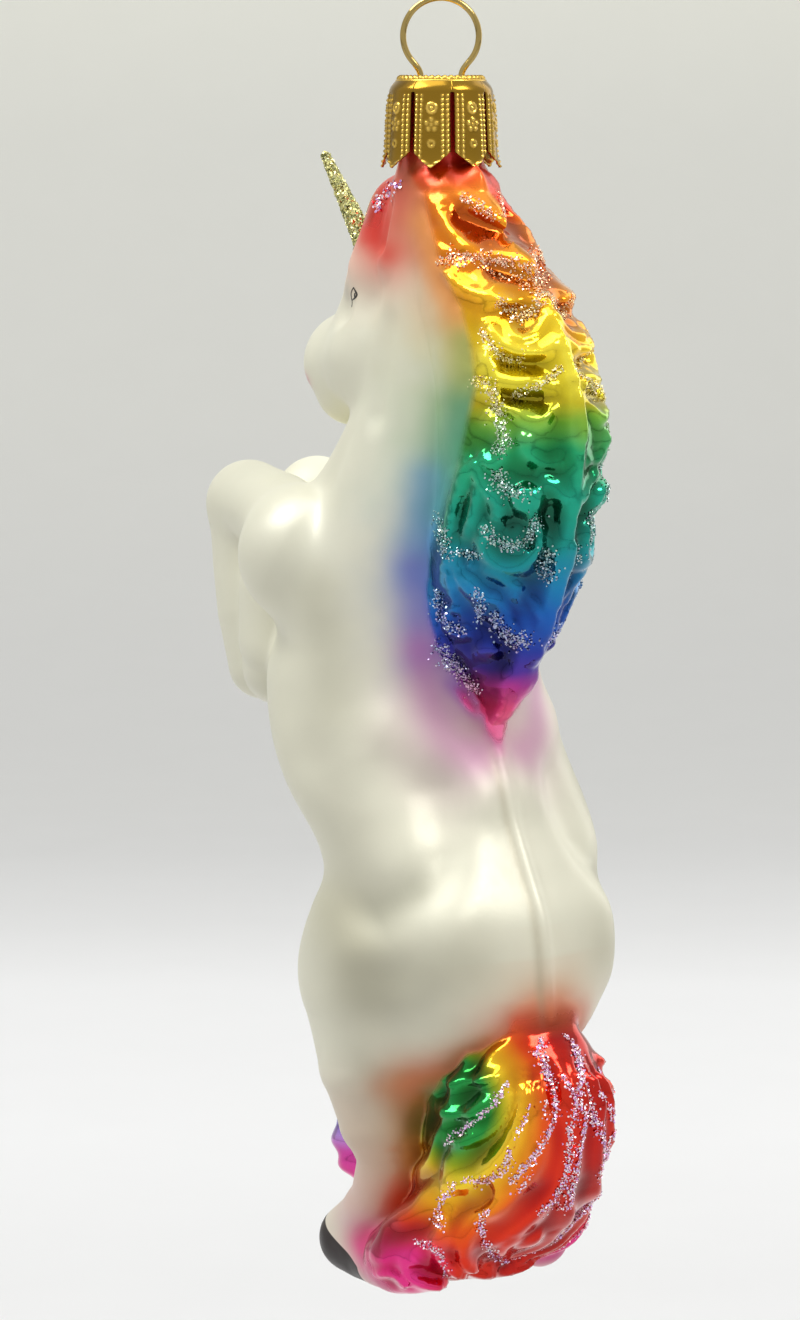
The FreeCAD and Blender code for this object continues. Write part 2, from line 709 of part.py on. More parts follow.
def glitter():
    """Every group of beads by its node's name; the right side mirrors the left."""
    mane_spot = side_spot(mane_shares, [trunk_shares, mane_shares])
    tail_spot = side_spot(tail_shares, [tail_shares])
    forelock_spot = egg_spot(forelock_shares)
    mane_skin, tail_skin, forelock_skin = [left_skin(solid)
                                           for solid in (trunk_and_mane(), tail(), ball(forelock_shares))]
    mane = Part.makeCompound([bead(mane_skin, mane_spot, line) for line in mane_line_shares])
    tail_group = Part.makeCompound([bead(tail_skin, tail_spot, line) for line in tail_line_shares])
    forelock = Part.makeCompound([bead(forelock_skin, forelock_spot, line) for line in forelock_line_shares])
    return {"mane_glitter_left": mane, "mane_glitter_right": mirrored(mane),
            "tail_glitter_left": tail_group, "tail_glitter_right": mirrored(tail_group),
            "forelock_glitter": Part.makeCompound([forelock, mirrored(forelock)])}


def left_skin(solid):
    """The largest surface of a solid's left side."""
    return max(solid.Faces, key=lambda face: face.Area * (1 + (face.CenterOfMass.x > 0))).Surface


def mirrored(shape):
    return shape.mirror(Vector(0, 0, 0), Vector(1, 0, 0))


def main():
    os.makedirs("parts", exist_ok=True)
    for node, shape in glitter().items():
        save(node, shape)
    save("horn", horn())
    save("horn_adhesive", horn_adhesive())
    save("hanger", hanger())
    save("cap", cap())
    save("glass_body", glass_body())


main()
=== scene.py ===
import math

import bpy
import numpy as np
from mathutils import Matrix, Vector
from mathutils.bvhtree import BVHTree


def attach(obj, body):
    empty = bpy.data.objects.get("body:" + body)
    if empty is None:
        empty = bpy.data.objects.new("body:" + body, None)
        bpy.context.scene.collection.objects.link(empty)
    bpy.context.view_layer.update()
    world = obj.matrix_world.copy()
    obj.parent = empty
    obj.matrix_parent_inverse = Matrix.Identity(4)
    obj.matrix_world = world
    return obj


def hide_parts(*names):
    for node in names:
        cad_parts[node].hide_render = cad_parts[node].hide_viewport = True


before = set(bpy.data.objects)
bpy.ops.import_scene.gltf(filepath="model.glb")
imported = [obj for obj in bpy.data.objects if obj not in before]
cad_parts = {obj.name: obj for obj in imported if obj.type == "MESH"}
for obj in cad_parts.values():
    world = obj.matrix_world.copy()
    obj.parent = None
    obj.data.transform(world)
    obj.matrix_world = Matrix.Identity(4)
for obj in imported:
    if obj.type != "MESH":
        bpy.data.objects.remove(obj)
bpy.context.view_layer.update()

# Sizes are in millimetres above the figure's base plane until they are handed to Blender.
MM = 0.001
HANG = 161.01
H, HW, HD = 140.0, 20.0, 36.0
STEP = 0.4
CAP_TOP = 151.4
NECK_R = 5.2

TRUNK = [
    (0.218, 0.10, 0.40, 0.66), (0.257, 0.08, 0.53, 0.83), (0.300, 0.09, 0.54, 0.95), (0.354, 0.13, 0.47, 1.00),
    (0.395, 0.12, 0.40, 0.99), (0.443, 0.01, 0.41, 0.95), (0.493, -0.14, 0.48, 0.87), (0.543, -0.21, 0.54, 0.77),
    (0.600, -0.19, 0.53, 0.71), (0.657, -0.13, 0.47, 0.67), (0.714, -0.05, 0.42, 0.60), (0.771, 0.00, 0.37, 0.51),
    (0.829, 0.04, 0.31, 0.44), (0.886, 0.04, 0.25, 0.39), (0.943, 0.02, 0.20, 0.34), (0.990, 0.00, 0.16, 0.29)]
MANE = [
    (0.520, 0.20, 0.13, 0.11), (0.545, 0.24, 0.185, 0.19), (0.586, 0.29, 0.235, 0.30), (0.640, 0.345, 0.295, 0.39),
    (0.700, 0.41, 0.325, 0.43), (0.757, 0.455, 0.325, 0.44), (0.814, 0.44, 0.315, 0.44), (0.864, 0.36, 0.315, 0.42),
    (0.907, 0.255, 0.295, 0.39), (0.950, 0.14, 0.23, 0.34), (0.985, 0.065, 0.16, 0.29)]
TAIL = [
    (0.040, 0.19, 0.19, 0.42), (0.062, 0.27, 0.25, 0.53), (0.093, 0.345, 0.29, 0.57), (0.136, 0.425, 0.31, 0.56),
    (0.186, 0.475, 0.30, 0.53), (0.229, 0.495, 0.235, 0.43), (0.260, 0.52, 0.14, 0.28)]


# ---------------------------------------------------------------- fields
def curve_at(table, column, z):
    """A table's column at every height, joined smoothly."""
    keys = np.array([row[0] * H for row in table])
    vals = np.array([row[column] for row in table])
    slopes = np.empty(len(keys))
    slopes[1:-1] = (vals[2:] - vals[:-2]) / (keys[2:] - keys[:-2])
    slopes[0] = (vals[1] - vals[0]) / (keys[1] - keys[0])
    slopes[-1] = (vals[-1] - vals[-2]) / (keys[-1] - keys[-2])
    z = np.clip(z, keys[0], keys[-1])
    i = np.clip(np.searchsorted(keys, z, side="right") - 1, 0, len(keys) - 2)
    span = keys[i + 1] - keys[i]
    t = (z - keys[i]) / span
    a, b, c, d = vals[i], vals[i + 1], slopes[i] * span, slopes[i + 1] * span
    return ((2 * t ** 3 - 3 * t ** 2 + 1) * a + (t ** 3 - 2 * t ** 2 + t) * c
            + (-2 * t ** 3 + 3 * t ** 2) * b + (t ** 3 - t ** 2) * d)


def stack_field(table, X, Y, Z, top=1.0, bottom=1.0):
    """Distance to a stack of ovals with domed ends."""
    z = Z[0, 0, :]
    mid = curve_at(table, 1, z) * HD
    dep = curve_at(table, 2, z) * HD
    wid = curve_at(table, 3, z) * HW
    low, high = table[0][0] * H, table[-1][0] * H
    over = np.where(z > high, (z - high) / top, np.where(z < low, (low - z) / bottom, 0.0))
    x = X / wid
    y = (Y - mid) / dep
    k0 = np.sqrt(x * x + y * y + (over * over))
    k1 = np.sqrt((x / wid) ** 2 + (y / dep) ** 2 + (over / np.where(z > high, top, bottom)) ** 2)
    return (k0 * (k0 - 1) / np.maximum(k1, 1e-6)).astype(np.float32)


def egg(X, Y, Z, c, r, turn=0.0):
    """Distance to an egg, turned about the across axis by turn degrees."""
    x, y, z = X - c[0], Y - c[1], Z - c[2]
    if turn:
        s, q = math.sin(math.radians(turn)), math.cos(math.radians(turn))
        y, z = y * q + z * s, -y * s + z * q
    k0 = np.sqrt((x / r[0]) ** 2 + (y / r[1]) ** 2 + (z / r[2]) ** 2)
    k1 = np.sqrt((x / r[0] ** 2) ** 2 + (y / r[1] ** 2) ** 2 + (z / r[2] ** 2) ** 2)
    return k0 * (k0 - 1) / np.maximum(k1, 1e-6)


def rod(X, Y, Z, a, b, ra, rb):
    """Distance to a tapered rod with round ends."""
    a, b = np.asarray(a, float), np.asarray(b, float)
    d = b - a
    t = ((X - a[0]) * d[0] + (Y - a[1]) * d[1] + (Z - a[2]) * d[2]) / float(d @ d)
    t = np.clip(t, 0, 1)
    dist = np.sqrt((X - a[0] - t * d[0]) ** 2 + (Y - a[1] - t * d[1]) ** 2 + (Z - a[2] - t * d[2]) ** 2)
    return dist - (ra + (rb - ra) * t)


def chain(X, Y, Z, nodes):
    """Distance to rods joined end to end; each node is (x, y, z, radius)."""
    out = None
    for p, q in zip(nodes, nodes[1:]):
        d = rod(X, Y, Z, p[:3], q[:3], p[3], q[3])
        out = d if out is None else np.minimum(out, d)
    return out


def smooth_min(a, b, k):
    h = np.clip(0.5 + 0.5 * (b - a) / k, 0, 1)
    return b + (a - b) * h - k * h * (1 - h)


class Block:
    """A block of space that holds one distance field."""

    def __init__(self, low, high, step):
        self.low = np.array(low, float)
        self.step = step
        self.count = np.ceil((np.array(high, float) - self.low) / step).astype(int) + 1
        self.field = np.full(tuple(self.count), 50.0, dtype=np.float32)
        self.axes = [(self.low[k] + step * np.arange(self.count[k])).astype(np.float32) for k in range(3)]

    def part(self, low, high):
        cut = []
        for k in range(3):
            i = int(max(0, math.floor((low[k] - self.low[k]) / self.step)))
            j = int(min(self.count[k], math.ceil((high[k] - self.low[k]) / self.step) + 1))
            cut.append(slice(i, j))
        X = self.axes[0][cut[0]][:, None, None]
        Y = self.axes[1][cut[1]][None, :, None]
        Z = self.axes[2][cut[2]][None, None, :]
        return tuple(cut), X, Y, Z

    def join(self, make, low, high, k=1.0, pad=5.0):
        low = [v - pad for v in low]
        high = [v + pad for v in high]
        cut, X, Y, Z = self.part(low, high)
        self.field[cut] = smooth_min(self.field[cut], make(X, Y, Z).astype(np.float32), k)

    def carve(self, make, low, high, k=1.0, pad=5.0):
        low = [v - pad for v in low]
        high = [v + pad for v in high]
        cut, X, Y, Z = self.part(low, high)
        self.field[cut] = -smooth_min(-self.field[cut], make(X, Y, Z).astype(np.float32), k)


def net(block):
    """Vertices and quads of the zero level of a field."""
    f = block.field
    inside = f < 0
    n = np.zeros(tuple(c - 1 for c in f.shape), np.int8)
    for dx in (0, 1):
        for dy in (0, 1):
            for dz in (0, 1):
                n += inside[dx:f.shape[0] - 1 + dx, dy:f.shape[1] - 1 + dy, dz:f.shape[2] - 1 + dz]
    mixed = (n > 0) & (n < 8)
    cells = np.argwhere(mixed)
    index = np.full(mixed.shape, -1, np.int64)
    index[mixed] = np.arange(len(cells))
    total = np.zeros((len(cells), 3))
    hits = np.zeros(len(cells))
    for axis in range(3):
        others = [k for k in range(3) if k != axis]
        for p in (0, 1):
            for q in (0, 1):
                start = np.zeros(3, int)
                start[others[0]], start[others[1]] = p, q
                end = start.copy()
                end[axis] = 1
                i, j = cells + start, cells + end
                a, b = f[i[:, 0], i[:, 1], i[:, 2]], f[j[:, 0], j[:, 1], j[:, 2]]
                cross = (a < 0) != (b < 0)
                t = np.where(cross, a / np.where(a == b, 1, a - b), 0)
                spot = np.repeat(start[None, :].astype(float), len(cells), 0)
                spot[:, axis] = t
                total[cross] += spot[cross]
                hits[cross] += 1
    verts = block.low + block.step * (cells + total / hits[:, None])
    quads = []
    for axis in range(3):
        u, v = (axis + 1) % 3, (axis + 2) % 3
        lo = [slice(None)] * 3
        hi = [slice(None)] * 3
        lo[axis], hi[axis] = slice(0, -1), slice(1, None)
        change = inside[tuple(lo)] != inside[tuple(hi)]
        where = np.argwhere(change)
        where = where[(where[:, u] > 0) & (where[:, v] > 0)
                      & (where[:, u] < mixed.shape[u]) & (where[:, v] < mixed.shape[v])]
        ring = []
        for du, dv in ((-1, -1), (0, -1), (0, 0), (-1, 0)):
            c = where.copy()
            c[:, u] += du
            c[:, v] += dv
            ring.append(index[c[:, 0], c[:, 1], c[:, 2]])
        ring = np.stack(ring, 1)
        flip = ~inside[tuple(where.T)]
        ring[flip] = ring[flip][:, ::-1]
        quads.append(ring)
    return verts, np.vstack(quads)


# ---------------------------------------------------------------- noise and lines
def hash_noise(p, seed):
    """Smooth value noise in -1..1 at points p (n, 3)."""
    base = np.floor(p).astype(np.int64)
    frac = p - base
    w = frac * frac * (3 - 2 * frac)
    out = np.zeros(len(p))
    for dx in (0, 1):
        for dy in (0, 1):
            for dz in (0, 1):
                q = base + [dx, dy, dz]
                h = (q[:, 0] * 374761393 + q[:, 1] * 668265263 + q[:, 2] * 2147483647 + seed * 974711) & 0x7FFFFFFF
                h = ((h ^ (h >> 13)) * 1274126177) & 0x7FFFFFFF
                value = ((h ^ (h >> 16)) & 0xFFFF) / 32767.5 - 1
                part = (w[:, 0] if dx else 1 - w[:, 0]) * (w[:, 1] if dy else 1 - w[:, 1]) * (w[:, 2] if dz else 1 - w[:, 2])
                out += value * part
    return out


def smooth_line(points, step=0.5):
    """A rounded line through points, filled in evenly."""
    p = np.array(points, float)
    if len(p) > 2:
        for _ in range(2):
            mid = (p[:-1] + p[1:]) / 2
            cut = np.empty((2 * len(mid), p.shape[1]))
            cut[0::2] = p[:-1] * 0.75 + p[1:] * 0.25
            cut[1::2] = p[:-1] * 0.25 + p[1:] * 0.75
            p = np.vstack([p[:1], cut, p[-1:]])
    gap = np.r_[0, np.cumsum(np.linalg.norm(np.diff(p, axis=0), axis=1))]
    n = max(2, int(gap[-1] / step) + 1)
    s = np.linspace(0, gap[-1], n)
    return np.stack([np.interp(s, gap, p[:, k]) for k in range(p.shape[1])], 1)


def line_reach(points, line):
    """Distance of 2-D points to a filled-in line, and how far along it the nearest place is."""
    best = np.full(len(points), 1e9)
    where = np.zeros(len(points))
    for k, q in enumerate(line):
        d = (points[:, 0] - q[0]) ** 2 + (points[:, 1] - q[1]) ** 2
        near = d < best
        best[near] = d[near]
        where[near] = k
    return np.sqrt(best), where / max(1, len(line) - 1)


# The photograph's own side: u runs right and h runs up, both in millimetres, seen square on.
PHI = math.radians(55.0)


def side_u(x, y):
    return -x * math.sin(PHI) + y * math.cos(PHI)


def px(points):
    """Points given on the picture, as u and h."""
    return [((a - 441) / 8.0, (1296 - b) / 8.0) for a, b in points]


# ---------------------------------------------------------------- figure
def build_figure():
    full = ((-22, -44, -2), (22, 35, 153))
    block = Block(full[0], full[1], STEP)

    block.join(lambda X, Y, Z: stack_field(TRUNK, X, Y, Z, 4.0, 7.0), (-21, -25, 18), (21, 22, 146), 0.01)
    # hind legs and hooves
    for s in (1, -1):
        block.join(lambda X, Y, Z: chain(s * X, Y, Z, [
            (9.2, 5, 48, 9.8), (9.8, 0.5, 40, 9.6), (10.0, 1.0, 30, 7.6), (9.6, 2.0, 23.0, 6.2), (9.2, 2.6, 17.6, 4.4),
            (9.0, 0.4, 12.6, 4.1), (9.0, -0.8, 10.5, 4.0)]), (-21, -12, 2) if s < 0 else (0, -12, 2),
            (0, 16, 60) if s < 0 else (21, 16, 60), 3.0)
        block.join(lambda X, Y, Z: chain(s * X, Y, Z, [
            (9.0, -2.2, 9.4, 3.9), (9.2, -6.0, 5.7, 4.5)]), (-16, -12, 0) if s < 0 else (2, -12, 0),
            (-2, 6, 16) if s < 0 else (16, 6, 16), 1.6)
        block.join(lambda X, Y, Z: chain(s * X, Y, Z, [
            (9.6, -2.0, 4.4, 3.4), (10.4, 2.5, 4.4, 3.2), (10.8, 6.0, 5.4, 4.0)]), (-18, -8, 0) if s < 0 else (4, -8, 0),
            (-4, 12, 12) if s < 0 else (18, 12, 12), 2.2)
    # forelegs, raised and folded
    arm = [(2.4, -0.7, 84.0, 6.8), (6.2, -7.6, 87.4, 7.6), (10.4, -15.1, 92.0, 8.4)]
    forearm = [(9.2, -15.1, 93.2, 6.4), (6.8, -26.6, 95.9, 5.6), (5.3, -36.0, 96.9, 5.4)]
    web = [(5.6, -26.6, 93.5, 5.0), (5.8, -26.6, 86.8, 6.0), (6.0, -27.0, 80.5, 5.6), (6.0, -28.1, 76.5, 4.2)]
    cannon = [(5.3, -36.0, 96.5, 5.2), (5.3, -34.9, 89.3, 5.4), (5.3, -33.8, 82.9, 5.4), (5.4, -32.6, 76.0, 4.6)]
    for s in (1, -1):
        low, high = (-20 if s < 0 else -1, -42, 70), (1 if s < 0 else 20, 8, 106)
        block.join(lambda X, Y, Z: chain(s * X, Y, Z, web), low, high, 1.2)
        block.join(lambda X, Y, Z: chain(s * X, Y, Z, cannon), low, high, 1.0)
        block.join(lambda X, Y, Z: chain(s * X, Y, Z, forearm), low, high, 1.4)
        block.join(lambda X, Y, Z: chain(s * X, Y, Z, arm), low, high, 3.6)
        block.join(lambda X, Y, Z: rod(s * X, Y, Z, (4.3, -7.6, 108.0), (5.4, -12.4, 100.6), 3.4, 4.0),
                   (-12 if s < 0 else 0, -22, 94), (0 if s < 0 else 12, -2, 113), 2.2)
    # head
    block.join(lambda X, Y, Z: egg(X, Y, Z, (0, -7.5, 127.4), (6.6, 8.2, 8.0), -25), (-8, -20, 116), (8, 4, 138), 1.5)
    block.join(lambda X, Y, Z: rod(X, Y, Z, (0, -11.0, 123.4), (0, -18.6, 116.9), 6.1, 4.5), (-8, -30, 108), (8, -3, 132), 2.0)
    block.join(lambda X, Y, Z: egg(X, Y, Z, (0, -21.8, 116.0), (5.0, 4.2, 5.6), -8), (-7, -30, 108), (7, -14, 124), 3.0)
    block.join(lambda X, Y, Z: egg(X, Y, Z, (0, -19.2, 111.2), (4.6, 4.2, 3.4), -10), (-7, -28, 104), (7, -12, 118), 1.2)
    block.join(lambda X, Y, Z: rod(X, Y, Z, (0, -11.0, 114.0), (0, -18.4, 112.6), 5.6, 4.0), (-8, -26, 104), (8, -3, 124), 1.4)
    for s in (1, -1):
        side_low, side_high = (-12 if s < 0 else 0), (0 if s < 0 else 12)
        block.join(lambda X, Y, Z: rod(s * X, Y, Z, (2.4, -18.6, 115.4), (3.9, -11.0, 116.6), 4.0, 4.6), (side_low, -26, 106), (side_high, -4, 126), 3.0)
        block.join(lambda X, Y, Z: egg(s * X, Y, Z, (3.9, -8.0, 117.0), (4.3, 7.0, 6.6), 20), (side_low, -20, 104), (side_high, 2, 130), 3.0)
        block.carve(lambda X, Y, Z: rod(s * X, Y, Z, (10.6, -0.2, 111.0), (9.6, 0.0, 121.5), 1.2, 0.8), (side_low, -6, 107), (side_high, 4, 126), 3.0)
        block.join(lambda X, Y, Z: egg(s * X, Y, Z, (4.4, -9.8, 127.4), (1.6, 2.6, 1.3), -35), (side_low, -18, 122), (side_high, -6, 133), 1.4)
        block.carve(lambda X, Y, Z: egg(s * X, Y, Z, (7.4, -12.6, 123.4), (1.6, 2.6, 2.0), -30), (side_low, -18, 119), (side_high, -6, 129), 1.6)
        block.join(lambda X, Y, Z: egg(s * X, Y, Z, (5.0, -11.6, 125.3), (0.9, 1.5, 1.2), -20), (side_low, -18, 120), (side_high, -6, 130), 0.4)
        # ears lie flat against the poll
        block.join(lambda X, Y, Z: rod(s * X, Y, Z, (5.2, -2.2, 129.0), (5.4, -0.8, 138.0), 2.0, 0.9), (-9, -8, 125) if s < 0 else (0, -8, 125),
                   (0, 5, 141) if s < 0 else (9, 5, 141), 2.0)
        block.carve(lambda X, Y, Z: rod(s * X, Y, Z, (6.9, -3.2, 131.5), (6.5, -1.6, 136.5), 0.9, 0.4), (-9, -8, 128) if s < 0 else (0, -8, 128),
                    (0, 3, 139) if s < 0 else (9, 3, 139), 1.4, 2.0)
    block.join(lambda X, Y, Z: rod(X, Y, Z, (0, 0, 132.0), (0, 0, 151.0), NECK_R, NECK_R), (-6, -6, 128), (6, 6, 153), 1.2, 2.0)
    body = block.field.copy()

    # relief of the body: spine band, flank hollow, hip and shoulder
    cut, X, Y, Z = block.part((-22, -30, 20), (22, 35, 112))
    f = block.field[cut]
    band = 0.62 * np.exp(-(X / 0.95) ** 2)
    fade = np.clip((Z - 34) / 4, 0, 1) * np.clip((73 - Z) / 4, 0, 1) * (Y > 6)
    f -= band * fade
    f -= body_forms(X, Y, Z)
    block.field[cut] = f

    # mane, tail and forelock are kept as their own distances for the colours
    mane = Block(full[0], full[1], STEP)
    mane.join(lambda X, Y, Z: stack_field(MANE, X, Y, Z, 4.0, 3.0), (-13, -6, 68), (13, 33, 146), 0.01)
    tail = Block(full[0], full[1], STEP)
    tail.join(lambda X, Y, Z: stack_field(TAIL, X, Y, Z, 6.0, 3.4), (-16, -2, -1), (16, 33, 40), 0.01)
    tail.join(lambda X, Y, Z: chain(X, Y, Z, [(8, 13.7, 11.2, 5.4), (10.4, 8.6, 7.3, 5.0), (10.6, 5.6, 6.2, 3.9)]),
              (2, -6, -1), (18, 20, 20), 2.0)
    curl = smooth_line([(-5.5, 12.5, 10.5, 4.6), (-12.0, 7.0, 8.8, 4.6), (-13.6, -1.5, 8.2, 4.3), (-12.0, -9.5, 8.6, 4.0),
                        (-8.4, -16.0, 9.0, 3.7), (-4.0, -20.6, 9.6, 3.4), (-1.6, -22.4, 13.0, 3.2),
                        (-1.8, -22.6, 16.6, 2.2), (-3.0, -22.2, 18.6, 1.2)], 2.5)
    tail.join(lambda X, Y, Z: chain(X, Y, Z, curl.tolist()), (-19, -27, -1), (4, 20, 26), 2.0)
    tail.join(lambda X, Y, Z: rod(X, Y, Z, (0, 18.0, 34.5), (0, 17.0, 41.0), 3.2, 0.8), (-4, 12, 30), (4, 24, 44), 2.0)
    lock = Block(full[0], full[1], STEP)
    lock.join(lambda X, Y, Z: egg(X, Y, Z, (0, -6.5, 134.2), (5.3, 6.0, 5.9)), (-7, -14, 126), (7, 2, 142), 0.01)
    return block, mane, tail, lock


# Soft ridges and hollows of the flank, as lines on the picture's side: points, height, width in mm.
BODY_FORMS = [
    ([(392, 716), (440, 742), (487, 775)], 1.1, 3.6),
    ([(437, 778), (440, 800), (446, 830)], -1.2, 3.2),
    ([(440, 856), (410, 872), (380, 892)], -1.4, 3.4),
    ([(449, 846), (454, 880), (448, 925), (430, 962), (372, 990)], 0.8, 3.4),
    ([(392, 960), (380, 1020), (372, 1080)], -0.6, 3.2),
    ([(340, 940), (334, 1000), (346, 1060)], 0.5, 3.2),
    ([(310, 620), (330, 680), (350, 740)], 0.6, 4.5),
    ([(312, 852), (330, 862), (352, 868)], -1.2, 5.0),
    ([(268, 690), (274, 730), (290, 770)], 1.0, 5.0),
]


def body_forms(X, Y, Z):
    """How far the soft ridges and hollows push the skin out, from a table over the picture's side."""
    us, zs = np.arange(-26, 28, 0.2), Z[0, 0, :]
    pts = np.stack(np.meshgrid(us, zs, indexing="ij"), -1).reshape(-1, 2)
    table = np.zeros(len(pts))
    for points, height, width in BODY_FORMS:
        d, _ = line_reach(pts, smooth_line(px(points), 0.4))
        table += height * np.exp(-(d / width) ** 2)
    table = table.reshape(len(us), len(zs)).astype(np.float32)
    place = (side_u(np.abs(X), Y)[:, :, 0] - us[0]) / 0.2
    low = place.astype(int)
    part = (place - low)[:, :, None].astype(np.float32)
    return table[low] * (1 - part) + table[low + 1] * part


def relief(block, mane, tail):
    """Raised locks: every ridge is a line on the side of the mane or tail."""
    ridges = MANE_RIDGES
    cut, X, Y, Z = mane.part((-14, -8, 66), (14, 34, 146))
    f = mane.field[cut]
    near = np.abs(f) < 3.0
    where = np.argwhere(near)
    x = X[where[:, 0], 0, 0]
    y = Y[0, where[:, 1], 0]
    z = Z[0, 0, where[:, 2]]
    lift = mane_lift(x, y, z)
    g = f[near]
    f[near] = g - lift
    mane.field[cut] = f
    cut, X, Y, Z = tail.part((-19, -28, -2), (19, 34, 40))
    f = tail.field[cut]
    near = np.abs(f) < 3.0
    where = np.argwhere(near)
    x = X[where[:, 0], 0, 0]
    y = Y[0, where[:, 1], 0]
    z = Z[0, 0, where[:, 2]]
    f[near] = f[near] - tail_lift(x, y, z)
    tail.field[cut] = f


# Ridges of the mane, as lines on the picture's side: wavy locks, curls and the rim along the back.
MANE_RIDGES = [
    ([(440, 205), (452, 232), (478, 252), (510, 250), (545, 268)], 0.9, 1.0),
    ([(452, 190), (480, 205), (505, 222), (540, 262)], 0.7, 0.8),
    ([(436, 262), (462, 285), (490, 292), (520, 300)], 0.8, 0.9),
    ([(470, 290), (490, 286), (494, 298), (478, 300)], 0.6, 0.7),
    ([(480, 312), (500, 335), (520, 345), (545, 340), (552, 325)], 0.8, 1.0),
    ([(482, 335), (486, 360), (505, 372), (535, 366), (556, 380)], 0.9, 1.1),
    ([(500, 318), (515, 330), (535, 322), (548, 302)], 0.7, 0.8),
    ([(474, 372), (500, 392), (530, 408), (545, 400), (548, 385)], 0.8, 0.9),
    ([(478, 400), (498, 412), (500, 440), (486, 450), (476, 436)], 0.8, 1.0),
    ([(520, 415), (522, 440), (540, 450), (560, 446)], 0.8, 0.9),
    ([(470, 440), (476, 470), (498, 488), (490, 505)], 0.9, 1.0),
    ([(530, 452), (545, 465), (565, 485)], 0.7, 0.9),
    ([(505, 480), (520, 470), (535, 482), (530, 500)], 0.8, 0.9),
    ([(484, 505), (478, 530), (495, 552), (525, 548), (540, 525), (532, 505)], 0.9, 1.1),
    ([(460, 470), (456, 500), (462, 540), (475, 555)], 0.8, 0.9),
    ([(448, 500), (446, 535), (462, 575), (490, 580)], 0.9, 1.0),
    ([(478, 545), (510, 565), (540, 598), (556, 605)], 0.8, 1.0),
    ([(560, 520), (552, 550), (556, 580), (545, 606)], 0.8, 0.9),
    ([(476, 578), (500, 585), (512, 610), (528, 625)], 0.8, 1.0),
    ([(462, 590), (444, 598), (446, 618), (464, 622), (468, 608)], 0.7, 0.9),
    ([(430, 570), (432, 610), (446, 645), (470, 672)], 0.8, 0.9),
    ([(470, 640), (495, 632), (520, 650), (540, 630)], 0.8, 1.0),
    ([(440, 665), (465, 690), (478, 715)], 0.7, 0.8),
    ([(520, 665), (500, 690), (486, 720)], 0.7, 0.8),
    ([(468, 438), (460, 460), (452, 499), (443, 532), (446, 571), (457, 588)], 1.0, 1.3),
    ([(476, 455), (473, 488), (460, 515), (456, 549), (470, 571), (496, 588)], 0.9, 1.1),
    ([(508, 468), (524, 500), (546, 522), (556, 548), (552, 590), (530, 640)], 0.9, 1.2),
    ([(500, 562), (518, 582), (524, 612), (516, 650), (495, 700)], 0.9, 1.1),
    ([(540, 262), (558, 300), (570, 345), (576, 400), (574, 440)], 0.7, 1.1),
]
MANE_HOLLOWS = [
    ([(450, 215), (480, 225), (514, 238)], 2.0, 1.0),
    ([(480, 264), (520, 272), (545, 290)], 1.6, 0.9),
    ([(496, 300), (536, 308)], 1.4, 0.8),
    ([(494, 350), (535, 354)], 1.3, 0.8),
    ([(496, 385), (540, 388)], 1.4, 0.8),
    ([(500, 510), (515, 500), (528, 512), (522, 534)], 1.1, 0.9),
    ([(540, 560), (548, 520), (545, 480)], 1.3, 1.0),
    ([(462, 480), (458, 520), (466, 550)], 1.1, 0.8),
    ([(478, 600), (500, 625), (506, 650)], 1.2, 0.9),
    ([(450, 640), (468, 668), (480, 700)], 1.0, 0.8),
]
TAIL_RIDGES = [
    ([(550, 1020), (562, 1050), (572, 1100), (562, 1150), (530, 1195), (490, 1225)], 1.0, 1.1),
    ([(560, 1015), (590, 1060), (600, 1110), (592, 1160), (560, 1205), (515, 1235)], 1.0, 1.1),
    ([(536, 1030), (540, 1075), (538, 1120), (512, 1165), (470, 1195)], 0.9, 1.0),
    ([(524, 1035), (516, 1080), (500, 1120), (468, 1150), (440, 1160)], 0.9, 1.0),
    ([(512, 1050), (500, 1085), (475, 1105), (440, 1112)], 0.8, 0.9),
    ([(575, 1035), (606, 1080), (614, 1130), (606, 1180), (580, 1212)], 0.9, 1.0),
    ([(455, 1175), (438, 1200), (438, 1235), (470, 1262), (505, 1268)], 0.9, 1.0),
    ([(480, 1190), (462, 1215), (466, 1245), (500, 1262)], 0.9, 1.0),
    ([(418, 1230), (400, 1245), (420, 1262), (450, 1270)], 0.9, 1.0),
    ([(370, 1262), (395, 1250), (410, 1268)], 0.7, 0.8),
    ([(520, 1205), (498, 1235), (512, 1258), (540, 1250)], 0.9, 1.0),
    ([(440, 1060), (470, 1050), (500, 1040)], 0.8, 0.7),
    ([(432, 1085), (462, 1084), (492, 1064)], 0.8, 0.8),
]


def lift_from(lines, x, y, z, base=None):
    """Height of rounded ridges over the skin."""
    u = side_u(np.abs(x), y)
    pts = np.stack([u, z], 1)
    out = np.zeros(len(pts))
    for points, height, width in lines:
        d, along = line_reach(pts, smooth_line(px(points), 0.6))
        ends = np.clip(np.minimum(along, 1 - along) * 6 + 0.25, 0, 1)
        out = np.maximum(out, height * ends * np.exp(-(d / width) ** 2))
    return out


# Front edge of the shining part of the mane: before it the same form is matt and only airbrushed.
MANE_EDGE = [(405, 172), (424, 196), (440, 262), (460, 303), (470, 340), (474, 375), (466, 408), (457, 452), (444, 494),
             (428, 548)]


def before_mane(x, y, z):
    """How far a place lies before the shining part of the mane, below zero inside it."""
    edge = np.array(px(MANE_EDGE))[::-1]
    return np.interp(z, edge[:, 1], edge[:, 0], left=-60, right=-60) - side_u(np.abs(x), y)


